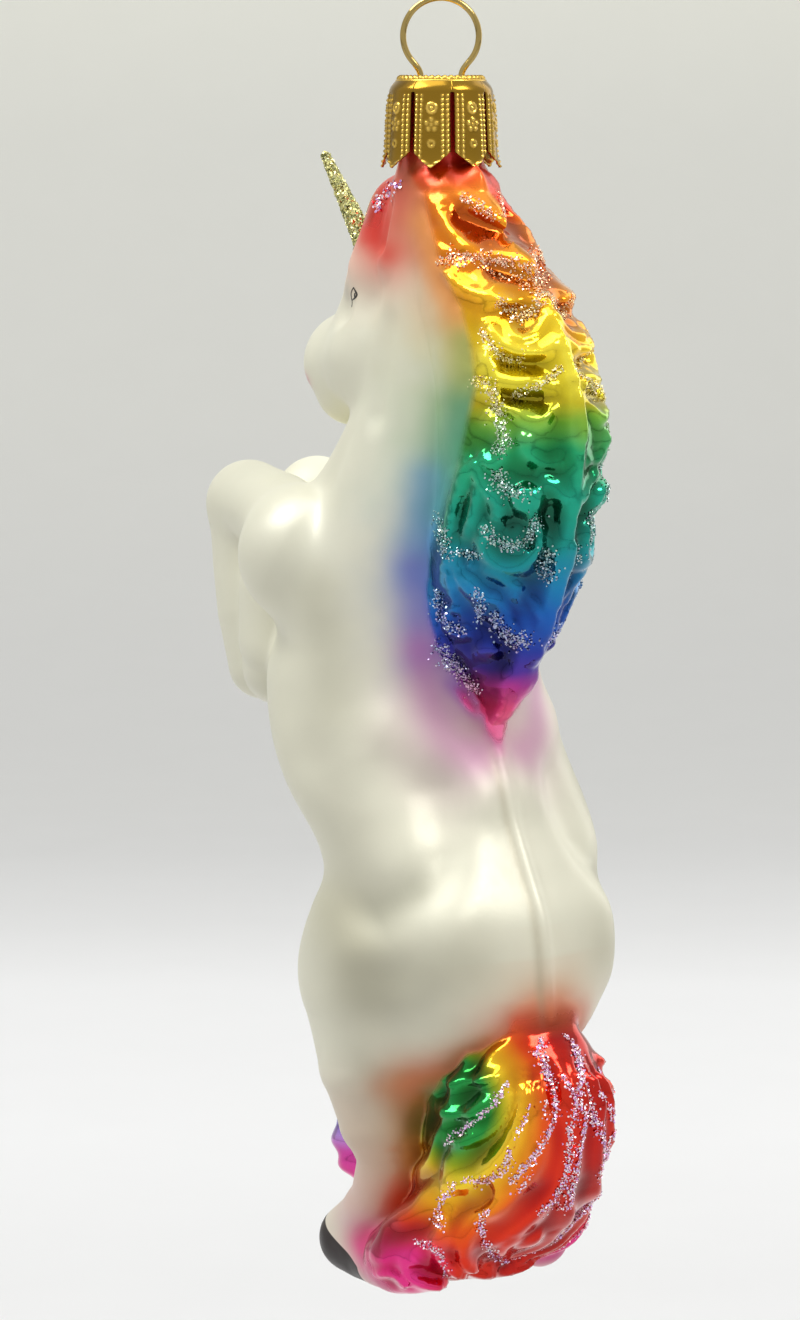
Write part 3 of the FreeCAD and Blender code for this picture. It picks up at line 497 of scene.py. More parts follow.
def mane_lift(x, y, z):
    flow = np.stack([x * 0.10, y * 0.16, z * 0.16], 1)
    warp = hash_noise(flow * 1.7 + 5.0, 3) * 1.6
    waves = np.sin((z * 0.9 - y * 0.55) * 0.85 + warp * 2.6)
    fine = np.sin((z * 1.1 + y * 0.9) * 1.9 + hash_noise(flow * 4.0, 9) * 4.0)
    ridge = lift_from(MANE_RIDGES, x, y, z)
    hollow = lift_from(MANE_HOLLOWS, x, y, z)
    rim = 1.1 * np.exp(-(x / 1.1) ** 2) - 0.5 * np.exp(-((np.abs(x) - 3.0) / 1.2) ** 2)
    back = np.clip((side_depth(MANE, y, z) - 0.55) / 0.3, 0, 1)
    scallop = 0.5 * np.sin(z * 0.75 + 1.3 * np.sin(z * 0.31)) * back * np.clip(np.abs(x) / 3, 0, 1)
    calm = 1 - 0.85 * np.clip(before_mane(x, y, z) / 1.5, 0, 1)
    return (1.25 * ridge - 0.8 * hollow + 0.14 * waves + 0.05 * fine + rim * back + scallop) * calm


def tail_lift(x, y, z):
    flow = np.stack([x * 0.12, y * 0.12, z * 0.12], 1)
    warp = hash_noise(flow * 2.0 + 2.0, 5) * 1.2
    r = np.sqrt((y - 2.0) ** 2 + (z - 31.0) ** 2)
    waves = np.sin(r * 1.25 + warp * 1.6 + np.abs(x) * 0.12)
    ridge = lift_from(TAIL_RIDGES, x, y, z)
    strands = np.sin(1.9 * z + 1.2 * np.sin(0.35 * (x - y)) + warp) * np.clip((6 - y) / 6, 0, 1)
    return (1.35 * ridge + 0.42 * waves * np.clip((y - 2) / 8, 0, 1) + 0.18 * strands
            + 0.05 * hash_noise(flow * 5.0, 7))


def side_depth(table, y, z):
    mid = curve_at(table, 1, z) * HD
    dep = curve_at(table, 2, z) * HD
    return (y - mid) / dep


def sample(block, pts):
    """Field values at points, trilinear."""
    g = (pts - block.low) / block.step
    g = np.clip(g, 0, np.array(block.field.shape) - 1.001)
    i = np.floor(g).astype(int)
    t = g - i
    out = np.zeros(len(pts))
    for dx in (0, 1):
        for dy in (0, 1):
            for dz in (0, 1):
                w = (t[:, 0] if dx else 1 - t[:, 0]) * (t[:, 1] if dy else 1 - t[:, 1]) * (t[:, 2] if dz else 1 - t[:, 2])
                out += w * block.field[i[:, 0] + dx, i[:, 1] + dy, i[:, 2] + dz]
    return out


def make_mesh(name, verts, faces, smooth=True):
    mesh = bpy.data.meshes.new(name)
    v = np.asarray(verts, float)
    v = (v - [0, 0, HANG]) * MM
    mesh.from_pydata(v.tolist(), [], [tuple(int(i) for i in f) for f in faces])
    mesh.update()
    if smooth:
        mesh.polygons.foreach_set("use_smooth", [True] * len(mesh.polygons))
    obj = bpy.data.objects.new(name, mesh)
    bpy.context.scene.collection.objects.link(obj)
    return obj


def add_values(mesh, name, values):
    layer = mesh.attributes.new(name, "FLOAT", "POINT")
    layer.data.foreach_set("value", np.asarray(values, np.float32))


def add_colours(mesh, name, values):
    layer = mesh.attributes.new(name, "FLOAT_COLOR", "POINT")
    rgba = np.ones((len(values), 4), np.float32)
    rgba[:, :3] = values
    layer.data.foreach_set("color", rgba.ravel())


def ramp(stops, t):
    """Colours by position, in linear light, from stops of (place, sRGB hex)."""
    keys = np.array([s[0] for s in stops])
    cols = np.array([[int(s[1][k:k + 2], 16) / 255 for k in (0, 2, 4)] for s in stops])
    cols = np.where(cols <= 0.04045, cols / 12.92, ((cols + 0.055) / 1.055) ** 2.4)
    return np.stack([np.interp(t, keys, cols[:, k]) for k in range(3)], 1)


# Lacquer colours by height above the base, from the foot of each form to its top.
MANE_COLOURS = [(70, "f88cb4"), (75, "ec5c98"), (78.5, "b43c94"), (80.5, "5c3aa0"), (83, "2c44a4"), (87, "1f6cbc"),
                (91, "1e8cbc"), (96, "169c92"), (102, "20ac8e"), (107, "30b47c"), (110.5, "90c44c"), (113, "dcd034"),
                (118, "ffee50"), (122.5, "ffdc34"), (126.5, "ffc028"), (130, "ffb024"), (138, "ffa228"), (141.5, "f8541e")]
BLEED_COLOURS = [(66, "f2b6d2"), (71, "e66cae"), (77, "b35cc0"), (83, "6a62c8"), (92, "3c86d4"), (99, "2f9dbf"),
                 (106, "2fae86"), (113, "6cba58"), (119, "d8c85a"), (127, "f3a44c"), (133, "f08a4c"), (139, "e8503c"),
                 (145, "de2c22")]
TAIL_COLOURS = [(0.0, "1f9a54"), (4.6, "2fa04c"), (5.8, "a8b828"), (7.0, "f4d438"), (8.8, "f4b824"), (10.9, "ee6c18"),
                (13.2, "e2401c"), (19.0, "c4241a")]
PEARL = np.array([0.88, 0.86, 0.69])


# Airbrushed lacquer on the body, and painted shade on the belly, chest, thigh, rump and the hollow under the hip, as
# lines on the picture's side: points, reach in mm, sRGB hex, strength.
AIRBRUSH_AND_SHADE = [
    ([(356, 264), (372, 270), (392, 272)], 3.0, "f4a896", 0.45),
    ([(380, 226), (378, 240), (386, 252)], 2.4, "ec3c2c", 0.90),
    ([(398, 196), (400, 226), (398, 245)], 1.8, "f07058", 0.55),
    ([(404, 186), (409, 215), (418, 248)], 2.4, "dc7060", 0.60),
    ([(420, 180), (426, 204), (434, 232), (446, 262)], 2.2, "cc7c3c", 0.72),
    ([(424, 224), (440, 268), (458, 312)], 2.4, "ee9848", 0.78),
    ([(464, 336), (466, 362), (462, 392)], 2.6, "a4b05c", 0.78),
    ([(460, 400), (451, 448), (440, 496)], 2.8, "4ca07c", 0.74),
    ([(424, 470), (418, 520), (414, 560)], 2.6, "5f9fd8", 0.50),
    ([(414, 560), (416, 600), (422, 640)], 3.0, "6f66cc", 0.60),
    ([(420, 640), (430, 690), (448, 728), (472, 742)], 3.0, "cc6cb4", 0.56),
    ([(404, 716), (424, 756), (450, 770)], 4.0, "e6b4cc", 0.18),
    # painted shade: greyed pearl where the belly, chest, thigh, the rump under the thigh and the hollow under the hip
    # fall in shade
    ([(322, 736), (340, 770), (356, 800)], 5.0, "cbc8b4", 0.80),
    ([(320, 590), (328, 640), (334, 690)], 4.0, "cfccb4", 0.65),
    ([(344, 896), (356, 930), (366, 960)], 5.5, "c8c4aa", 0.85),
    ([(388, 962), (424, 944), (464, 936)], 4.6, "c6c2aa", 0.60),
    ([(382, 888), (400, 878), (418, 868)], 2.2, "bcbaa4", 0.60),
    ([(344, 1180), (350, 1200), (354, 1216)], 3.0, "dcc0cc", 0.35),
    ([(352, 1100), (364, 1150), (366, 1190)], 5.0, "dcb8a6", 0.40),
    ([(404, 1070), (414, 1100), (424, 1140), (428, 1190), (420, 1216)], 3.2, "d8803c", 0.75),
    ([(384, 1072), (400, 1076), (430, 1074)], 2.2, "dc8c5c", 0.45),
    ([(426, 1092), (432, 1122), (434, 1150)], 2.6, "8a7c38", 0.55),
    ([(428, 1066), (470, 1042), (516, 1012), (560, 996)], 3.4, "dc6a2c", 0.85),
    ([(436, 1076), (470, 1062), (500, 1048)], 2.0, "4e7a34", 0.80),
    ([(404, 1196), (412, 1212), (420, 1226)], 2.4, "e2561e", 0.80),
    ([(364, 1244), (378, 1256), (400, 1266), (424, 1266)], 2.0, "e0448c", 0.95),
    ([(370, 1234), (390, 1238), (412, 1238)], 2.0, "e2487e", 0.85),
]


def airbrush(colour, x, y, z):
    """Lay every soft stroke, airbrushed lacquer and painted shade alike, over the body's own colour."""
    pts = np.stack([side_u(np.abs(x), y), z], 1)
    for points, reach, tint, strength in AIRBRUSH_AND_SHADE:
        line = smooth_line(px(points), 0.8)
        low, high = line.min(0) - 3 * reach, line.max(0) + 3 * reach
        near = np.all((pts > low) & (pts < high), 1)
        d, _ = line_reach(pts[near], line)
        mask = (strength * np.exp(-(d / reach) ** 2))[:, None]
        colour[near] = colour[near] * (1 - mask) + ramp([(0, tint)], z[near]) * mask
    return colour


def recess(pts, lift, d, low, high):
    """How far each point lies up from the bottom of the recesses between locks, 0 to 1."""
    out = np.ones(len(pts))
    near = d < 0.8
    x, y, z = pts[near].T
    out[near] = np.clip((lift(x, y, z) - low) / (high - low), 0, 1)
    return out


def figure_colours(pts, d_mane, d_tail, d_lock):
    x, y, z = pts.T
    n = len(pts)
    soft = hash_noise(pts * 0.18, 21) * 0.5 + hash_noise(pts * 0.5, 22) * 0.2
    colour = np.tile(PEARL, (n, 1))
    # airbrushed colour beside the mane
    bleed = ramp(BLEED_COLOURS, z + soft * 3)
    width = 3.0 + 1.5 * soft
    before = before_mane(x, y, z)
    clear = np.clip(np.maximum(d_mane, 0.7 * before), 0, 60)
    mask = np.exp(-clear / np.maximum(width, 1.2)) * np.clip((z - 62) / 6, 0, 1)
    mask = np.clip(mask * 1.1, 0, 1) * 0.92
    mask *= 1 - 0.65 * np.clip(-x / 1.5, 0, 1) * np.clip((84 - z) / 8, 0, 1)
    colour = colour * (1 - mask[:, None]) + bleed * mask[:, None]
    # top of the neck is red
    top = np.clip((z - 134 + soft * 2) / 5, 0, 1)
    red = ramp([(0, "dc2b22")], z)
    colour = colour * (1 - top[:, None]) + red * top[:, None]
    # orange-brown and red airbrush where the tail meets the leg and rump
    u = side_u(np.abs(x), y)
    reach = 2.4 + soft + 4.5 * np.exp(-((z - 19.0) / 9.0) ** 2) * np.clip((16 - y) / 4, 0, 1)
    near = np.exp(-np.clip(d_tail, 0, 60) / reach) * 0.9
    by = ramp([(0, "e4559c"), (9, "e0507e"), (12, "e8702e"), (20, "c9832e"), (27, "b98a3c"), (32, "c86a34"), (38, "d6542c"), (42, "e0a070")], z)
    colour = colour * (1 - near[:, None]) + by * near[:, None]
    colour = airbrush(colour, x, y, z)
    # the mould's seam down the back is a pale raised line in the form; a painted shadow is laid beside it on the +x
    # side
    along = np.clip((z - 35) / 5, 0, 1) * np.clip((72 - z) / 5, 0, 1) * (y > 6)
    shade = (0.42 * np.exp(-((x - 1.25) / 0.6) ** 2) * along)[:, None]
    colour = colour * (1 - shade) + ramp([(0, "b0a688")], z) * shade
    spray = np.exp(-np.clip(d_lock, 0, 60) / 2.4) * 0.7
    colour = colour * (1 - spray[:, None]) + ramp([(0, "ee6a54")], z) * spray[:, None]
    gloss = np.zeros(n)
    # mane
    m = np.clip(1.3 - d_mane / 0.5, 0, 1) * (1 - np.clip(before / 0.9 + 0.5, 0, 1))
    far = np.clip((-x - 0.5) / 1.0, 0, 1)
    hair = ramp(MANE_COLOURS, z + soft * 2.2 + 5.0 * far * np.clip((z - 112) / 10, 0, 1))
    # painted shade: the lacquer is darkened and deepened towards the bottom of the recesses between the locks
    up = recess(pts, mane_lift, d_mane, -0.7, 0.9)
    hair = hair ** (1.9 - 0.75 * up[:, None]) * (0.50 + 0.50 * up[:, None])
    colour = colour * (1 - m[:, None]) + hair * m[:, None]
    gloss = np.maximum(gloss, m)
    # tail: green at the upper front through yellow and orange to red along the back
    m = np.clip(1.3 - d_tail / 0.5, 0, 1) * np.clip((40.5 - z) / 5.0, 0, 1)
    across = np.where(x < 0, np.abs(np.abs(x) - 5.0) - 5.0, x)
    side = side_u(across, y)
    close = np.hypot(side - 1.2, (z - 28.0) / 1.15)
    wide = np.hypot(side - 1.2, (z - 28.0) / np.where(z < 28.0, 1.5, 1.0))
    k = np.clip((close - 4.0) / 6.0, 0, 1)
    t = close * (1 - k) + wide * k + soft * 0.8
    hair = ramp(TAIL_COLOURS, t)
    pink = np.clip((2.0 - u) / 5.0, 0, 1) * np.clip((12.5 - z) / 4.0, 0, 1)
    magenta = ramp([(0, "ea4496")], z)
    hair = hair * (1 - pink[:, None]) + magenta * pink[:, None]
    base = np.clip((3.2 - z) / 2.5, 0, 1) * np.clip((u + 2) / 4, 0, 1)
    pale = ramp([(0, "f2c49a")], z)
    hair = hair * (1 - 0.8 * base[:, None]) + pale * 0.8 * base[:, None]
    # painted shade: the lacquer is darkened and deepened towards the bottom of the recesses between the locks
    up = recess(pts, tail_lift, d_tail, -0.5, 0.6)
    hair = hair ** (2.0 - 0.8 * up[:, None]) * (0.5 + 0.5 * up[:, None])
    lilac = np.clip((4 - x) / 2, 0, 1) * np.clip((-8 - y) / 6, 0, 1)
    curl = ramp([(9, "e04090"), (12.5, "c8409c"), (14.5, "b88cd8"), (16.5, "5a58b8")], z)
    hair = hair * (1 - lilac[:, None]) + curl * lilac[:, None]
    colour = colour * (1 - m[:, None]) + hair * m[:, None]
    gloss = np.maximum(gloss, m * (1 - 0.6 * base))
    # forelock
    m = np.clip(1.2 - d_lock / 0.5, 0, 1) * np.clip((z - 129.8) / 1.2, 0, 1) * np.clip((-1.5 - y) / 1.5, 0, 1)
    red = np.exp(-(np.clip(d_lock, 0, 60) / 1.9) ** 2) * np.clip((z - 128.5) / 3.0, 0, 1) * np.clip((-1.5 - y) / 1.5, 0, 1)
    colour = colour * (1 - red[:, None]) + ramp([(0, "e4301f")], z) * red[:, None]
    gloss = np.maximum(gloss, m)
    neck = np.clip((z - 138.5) / 1.0, 0, 1)
    gloss = np.maximum(gloss, neck * 0.9) * (1 - 0.62 * np.clip((z - 136.2) / 2.0, 0, 1))
    # painted hooves and mouth, and painted shade in the eye socket
    hoof = np.minimum(6.6 - (z + (y + 4.5) * 0.52), np.minimum(0.7 - y, d_tail - 0.1))
    hoof = np.clip(np.where(np.abs(np.abs(x) - 9.2) < 5.5, hoof, -1.0), -1.0, 1.0)
    mouth = np.exp(-(((y + 22.2) / 1.6) ** 2 + ((z - 113.6) / 0.9) ** 2)) * 0.75
    colour = colour * (1 - mouth[:, None]) + np.array([0.80, 0.36, 0.42]) * mouth[:, None]
    # painted shade: the eye socket's hollow is greyed
    socket_shade = np.exp(-(((y + 12.3) / 1.9) ** 2 + ((z - 125.3) / 1.6) ** 2)) * (np.abs(x) > 3.0) * 0.35
    colour = colour * (1 - socket_shade[:, None]) + np.array([0.26, 0.24, 0.22]) * socket_shade[:, None]
    return np.clip(colour, 0, 1), np.clip(gloss, 0, 1), hoof * 0.5 + 0.5


def figure():
    block, mane, tail, lock = build_figure()
    relief(block, mane, tail)
    full = tuple(slice(None) for _ in range(3))
    block.field = smooth_min(block.field, lock.field, 2.4)
    block.field = smooth_min(block.field, mane.field, 0.7)
    block.field = smooth_min(block.field, tail.field, 1.2)
    # flat top of the plain neck
    cut, X, Y, Z = block.part((-22, -44, 145), (22, 35, 153))
    block.field[cut] = np.maximum(block.field[cut], Z - 151.0)
    verts, quads = net(block)
    d_mane, d_tail, d_lock = sample(mane, verts), sample(tail, verts), sample(lock, verts)
    colour, gloss, hoof = figure_colours(verts, d_mane, d_tail, d_lock)
    obj = make_mesh("unicorn_glass", verts, quads)
    add_colours(obj.data, "paint", colour)
    add_values(obj.data, "gloss", gloss)
    add_values(obj.data, "hoof", hoof)
    return obj, verts, quads


# ---------------------------------------------------------------- materials
def new_material(name):
    mat = bpy.data.materials.new(name)
    mat.use_nodes = True
    tree = mat.node_tree
    tree.nodes.clear()
    out = tree.nodes.new("ShaderNodeOutputMaterial")
    shader = tree.nodes.new("ShaderNodeBsdfPrincipled")
    tree.links.new(shader.outputs[0], out.inputs[0])
    return mat, tree, shader


def node(tree, kind, **values):
    n = tree.nodes.new(kind)
    for key, value in values.items():
        if key in n.inputs.keys():
            n.inputs[key].default_value = value
        else:
            setattr(n, key, value)
    return n


def noise_node(tree, scale, detail=3.0, rough=0.5):
    coords = tree.nodes.new("ShaderNodeTexCoord")
    n = node(tree, "ShaderNodeTexNoise", Scale=scale, Detail=detail, Roughness=rough)
    tree.links.new(coords.outputs["Object"], n.inputs["Vector"])
    return n


def mix_colour(tree, a, b, fac, blend="MIX"):
    m = tree.nodes.new("ShaderNodeMix")
    m.data_type = "RGBA"
    m.blend_type = blend
    for key, value in ((0, fac), (6, a), (7, b)):
        if hasattr(value, "is_linked") or hasattr(value, "links"):
            tree.links.new(value, m.inputs[key])
        else:
            m.inputs[key].default_value = value
    return m.outputs[2]


def remap(tree, value, low, high, to_low, to_high):
    m = node(tree, "ShaderNodeMapRange")
    for key, v in zip(("From Min", "From Max", "To Min", "To Max"), (low, high, to_low, to_high)):
        m.inputs[key].default_value = v
    tree.links.new(value, m.inputs["Value"])
    return m.outputs[0]


def bump(tree, height, strength, distance):
    b = node(tree, "ShaderNodeBump", Strength=strength, Distance=distance)
    tree.links.new(height, b.inputs["Height"])
    return b.outputs[0]


def glass_material():
    mat, tree, shader = new_material("lacquered_silvered_glass")
    paint = node(tree, "ShaderNodeAttribute", attribute_name="paint")
    gloss = node(tree, "ShaderNodeAttribute", attribute_name="gloss")
    hoof = node(tree, "ShaderNodeAttribute", attribute_name="hoof")
    cloud = noise_node(tree, 60.0, 3.0)
    grain = noise_node(tree, 900.0, 2.0)
    fine = noise_node(tree, 2600.0, 2.0)
    tint = remap(tree, cloud.outputs[0], 0.3, 0.7, 0.95, 1.04)
    grey = tree.nodes.new("ShaderNodeCombineColor")
    for k in range(3):
        tree.links.new(tint, grey.inputs[k])
    colour = mix_colour(tree, paint.outputs["Color"], grey.outputs[0], 1.0, "MULTIPLY")
    shod = remap(tree, hoof.outputs["Fac"], 0.47, 0.53, 0.0, 1.0)
    colour = mix_colour(tree, colour, (0.022, 0.014, 0.013, 1), shod)
    shader_in = shader.inputs
    tree.links.new(colour, shader_in["Base Color"])
    metal = remap(tree, gloss.outputs["Fac"], 0.0, 1.0, 0.12, 0.93)
    tree.links.new(metal, shader_in["Metallic"])
    satin = remap(tree, grain.outputs[0], 0.3, 0.7, 0.37, 0.45)
    rough = tree.nodes.new("ShaderNodeMix")
    tree.links.new(gloss.outputs["Fac"], rough.inputs[0])
    tree.links.new(satin, rough.inputs[2])
    rough.inputs[3].default_value = 0.11
    tree.links.new(rough.outputs[0], shader_in["Roughness"])
    tree.links.new(remap(tree, gloss.outputs["Fac"], 0.0, 1.0, 0.0, 0.30), shader_in["Coat Weight"])
    shader_in["Coat Roughness"].default_value = 0.08
    shader_in["Coat IOR"].default_value = 1.5
    height = tree.nodes.new("ShaderNodeMath")
    height.operation = "ADD"
    tree.links.new(grain.outputs[0], height.inputs[0])
    tree.links.new(fine.outputs[0], height.inputs[1])
    tree.links.new(bump(tree, height.outputs[0], 0.12, 0.00005), shader_in["Normal"])
    return mat


def flake_material():
    mat, tree, shader = new_material("glitter_flakes")
    tone = node(tree, "ShaderNodeAttribute", attribute_name="tone")
    rub = noise_node(tree, 5000.0, 1.0)
    tree.links.new(tone.outputs["Color"], shader.inputs["Base Color"])
    shader.inputs["Metallic"].default_value = 1.0
    tree.links.new(remap(tree, rub.outputs[0], 0.3, 0.7, 0.16, 0.30), shader.inputs["Roughness"])
    return mat


def glue_material():
    mat, tree, shader = new_material("clear_glue")
    n = noise_node(tree, 700.0, 2.0)
    colour = mix_colour(tree, (0.85, 0.80, 0.66, 1), (0.93, 0.90, 0.82, 1), n.outputs[0])
    tree.links.new(colour, shader.inputs["Base Color"])
    shader.inputs["Roughness"].default_value = 0.18
    shader.inputs["Transmission Weight"].default_value = 0.6
    shader.inputs["IOR"].default_value = 1.46
    tree.links.new(bump(tree, n.outputs[0], 0.4, 0.0001), shader.inputs["Normal"])
    return mat


def gold_material(name, base, rough_low, rough_high, hollow=None):
    mat, tree, shader = new_material(name)
    n = noise_node(tree, 260.0, 4.0)
    f = noise_node(tree, 2400.0, 2.0)
    deep = tuple(c * 0.86 for c in base) + (1,)
    colour = mix_colour(tree, deep, tuple(base) + (1,), remap(tree, n.outputs[0], 0.35, 0.6, 0, 1))
    # painted shade: where the petal is not raised its colour goes to the darker hollow colour
    if hollow:
        raised = node(tree, "ShaderNodeAttribute", attribute_name="raised")
        colour = mix_colour(tree, tuple(hollow) + (1,), colour, raised.outputs["Fac"])
    tree.links.new(colour, shader.inputs["Base Color"])
    shader.inputs["Metallic"].default_value = 1.0
    tree.links.new(remap(tree, n.outputs[0], 0.3, 0.7, rough_low, rough_high), shader.inputs["Roughness"])
    tree.links.new(bump(tree, f.outputs[0], 0.15, 0.00003), shader.inputs["Normal"])
    return mat


# ---------------------------------------------------------------- cap
def build_cap():
    """Embossed crown cap: a domed disc, a roped rim and eight pointed petals with raised patterns."""
    petals, rows, cols = 8, 104, 40
    top, sheet = CAP_TOP, 0.3
    r_disc, r_shoulder, r_foot = 5.6, 6.5, 6.95
    drop_shoulder, straight, length = 1.5, 8.7, 10.7
    verts, faces, raised = [], [], []

    def radius(drop):
        if drop < drop_shoulder:
            t = drop / drop_shoulder
            return r_disc + (r_shoulder - r_disc) * math.sin(t * math.pi / 2)
        return r_shoulder + (r_foot - r_shoulder) * (drop - drop_shoulder) / (length - drop_shoulder)

    def emboss(s, drop, half):
        """Raised pattern on a petal: s across it in mm, drop from the top."""
        edge = min(half - abs(s), (length - drop) * 0.64 + (half - abs(s)) * 0.35 if drop > straight - 2 else 9)
        out = 0.0
        for line, size in ((0.35, 0.16), (1.00, 0.14)):
            bead = 0.5 + 0.5 * math.cos(drop * 2 * math.pi / 0.62)
            out += (0.05 + 0.22 * bead) * math.exp(-((edge - line) / size) ** 2)
        for cy, rr, wd, hh in ((3.4, 0.55, 0.16, 0.2), (3.4, 0.0, 0.22, 0.26), (7.7, 0.35, 0.14, 0.16)):
            d = abs(math.hypot(s, drop - cy) - rr)
            out += hh * math.exp(-(d / wd) ** 2)
        for k in range(5):
            a = 2 * math.pi * k / 5 + math.pi / 2
            d = math.hypot(s - 0.62 * math.cos(a), drop - 5.4 + 0.62 * math.sin(a))
            out += 0.2 * math.exp(-(d / 0.24) ** 2)
        d = math.hypot(s, drop - 5.4)
        out += 0.18 * math.exp(-(d / 0.2) ** 2)
        return out

    pitch = 2 * math.pi / petals
    slit = 0.28
    for k in range(petals):
        centre = pitch * k
        grid = []
        for i in range(rows + 1):
            t = i / rows
            line = []
            for j in range(cols + 1):
                w = j / cols * 2 - 1
                reach = length - 2.0 * abs(w) ** 1.0
                drop = drop_shoulder * 0.0 + t * reach
                r = radius(drop)
                half_angle = pitch / 2 - (slit / r if drop > drop_shoulder else 0.0)
                ang = centre + w * half_angle
                s = w * half_angle * r
                curl = 0.35 * max(0, (drop - 8.5) / 2.2) ** 2
                crown = 0.22 * (1 - w * w) * min(1, max(0, (drop - 1.5) / 3))
                lift = emboss(s, drop, half_angle * r) * min(1, max(0, (drop - 1.6) / 0.5))
                line.append((r + curl + crown - 0.1 + lift, ang, top - drop, lift))
            grid.append(line)
        start = len(verts)
        for layer in (0, 1):
            for line in grid:
                for r, ang, z, lift in line:
                    rr = r - layer * sheet
                    verts.append((rr * math.cos(ang), rr * math.sin(ang), z))
                    raised.append(min(1.0, lift / 0.16))
        n = cols + 1
        size = (rows + 1) * n
        for i in range(rows):
            for j in range(cols):
                a = start + i * n + j
                faces.append((a, a + n, a + n + 1, a + 1))
                b = a + size
                faces.append((b, b + 1, b + n + 1, b + n))
        for i in range(rows):
            for j, flip in ((0, False), (cols, True)):
                a = start + i * n + j
                q = (a, a + size, a + size + n, a + n)
                faces.append(q[::-1] if flip else q)
        for j in range(cols):
            a = start + rows * n + j
            faces.append((a, a + size, a + size + 1, a + 1))
            a = start + j
            faces.append((a, a + 1, a + size + 1, a + size))
    obj = make_mesh("cap_petals", verts, faces)
    add_values(obj.data, "raised", raised)

    # disc with a shallow dish
    verts, faces = [], []
    rings = [(0.0, 0.0), (1.5, 0.02), (3.6, 0.05), (4.2, 0.10), (4.9, 0.2), (5.3, 0.12), (5.62, 0.0), (5.62, -0.3), (0.0, -0.3)]
    steps = 96
    for r, z in rings:
        for k in range(steps):
            a = 2 * math.pi * k / steps
            verts.append((max(r, 0.02) * math.cos(a), max(r, 0.02) * math.sin(a), top + z))
    for i in range(len(rings) - 1):
        for k in range(steps):
            a, b = i * steps + k, i * steps + (k + 1) % steps
            faces.append((a, b, b + steps, a + steps))
    faces.append(tuple(range(steps))[::-1])
    faces.append(tuple(range((len(rings) - 1) * steps, len(rings) * steps)))
    disc = make_mesh("cap_disc", verts, faces)

    # rope round the rim: slanted strands wound on a ring
    verts, faces = [], []
    strands, around, turns = 168, 16, 40
    for k in range(strands):
        a = 2 * math.pi * k / strands
        for j in range(around):
            b = 2 * math.pi * j / around
            r = 0.42 + 0.11 * math.cos(turns * a + b)
            rad = 4.95 + r * math.cos(b)
            verts.append((rad * math.cos(a), rad * math.sin(a), top + 0.1 + r * math.sin(b)))
    for k in range(strands):
        for j in range(around):
            a, b = k * around + j, k * around + (j + 1) % around
            c, d = ((k + 1) % strands) * around + j, ((k + 1) % strands) * around + (j + 1) % around
            faces.append((a, c, d, b))
    rope = make_mesh("cap_rope", verts, faces)
    return [obj, disc, rope]


# ---------------------------------------------------------------- glitter
def flakes(name, spots, normals, seed, size, tones, spread=0.6, lift=0.2, under=None):
    """Small six-sided flakes, each a closed plate, at random tilts; the lacquer under them tints them by height."""
    rng = np.random.default_rng(seed)
    verts, faces, colour = [], [], []
    hexagon = [(math.cos(math.pi / 3 * k), math.sin(math.pi / 3 * k)) for k in range(6)]
    for p, nrm in zip(spots, normals):
        tilt = rng.normal(0, spread, 3)
        axis = nrm + tilt
        axis /= np.linalg.norm(axis)
        side = np.cross(axis, rng.normal(0, 1, 3))
        side /= np.linalg.norm(side)
        other = np.cross(axis, side)
        r = size * rng.uniform(0.6, 1.25)
        base = p + nrm * rng.uniform(0.02, lift)
        start = len(verts)
        for layer in (-0.03, 0.03):
            for cx, cy in hexagon:
                verts.append(base + side * (cx * r) + other * (cy * r) + axis * layer)
        faces.append(tuple(start + k for k in range(6))[::-1])
        faces.append(tuple(start + 6 + k for k in range(6)))
        for k in range(6):
            a, b = start + k, start + (k + 1) % 6
            faces.append((a, b, b + 6, a + 6))
        tone = tones[rng.integers(len(tones))]
        tone = np.clip(np.array(tone) * rng.uniform(0.75, 1.1), 0, 1)
        if under:
            tone = 0.5 * tone + 0.5 * ramp(under, [p[2]])[0]
        colour += [tone] * 12
    obj = make_mesh(name, verts, faces, smooth=False)
    add_colours(obj.data, "tone", np.array(colour))
    return obj


SILVERS = [(0.92, 0.92, 0.95), (0.95, 0.78, 0.90), (0.80, 0.86, 0.97), (0.96, 0.90, 0.78), (0.86, 0.66, 0.88),
           (0.74, 0.90, 0.92), (0.95, 0.93, 0.93)]
PINKS = [(0.90, 0.60, 0.86), (0.78, 0.50, 0.90), (0.95, 0.80, 0.92), (0.92, 0.90, 0.95), (0.96, 0.70, 0.74)]
GOLDS = [(0.56, 0.52, 0.20), (0.38, 0.38, 0.15), (0.78, 0.73, 0.34), (0.24, 0.25, 0.10), (0.66, 0.63, 0.34)]

MANE_GLITTER = [
    ([(462, 196), (478, 206), (494, 217)], 0.8),
    ([(441, 261), (471, 257), (505, 261), (521, 265), (541, 276), (543, 293), (532, 314), (516, 318), (500, 300)], 1.0),
    ([(483, 331), (490, 346), (505, 358), (522, 359)], 0.8),
    ([(475, 378), (490, 388), (498, 407), (500, 426), (505, 441), (498, 453)], 1.0),
    ([(512, 395), (532, 390), (552, 378), (560, 368)], 0.6),
    ([(494, 472), (505, 491), (528, 495)], 1.2),
    ([(484, 529), (494, 540), (513, 548), (532, 536), (536, 518)], 1.0),
    ([(550, 552), (545, 563), (547, 576)], 1.3),
    ([(437, 517), (443, 540), (447, 557)], 0.8),
    ([(455, 552), (480, 556)], 0.6),
    ([(437, 590), (441, 624), (462, 631)], 0.8),
    ([(476, 590), (482, 606), (478, 622)], 0.8),
    ([(494, 616), (502, 632), (511, 643), (528, 639)], 1.2),
    ([(437, 646), (456, 669), (479, 692)], 1.1),
]
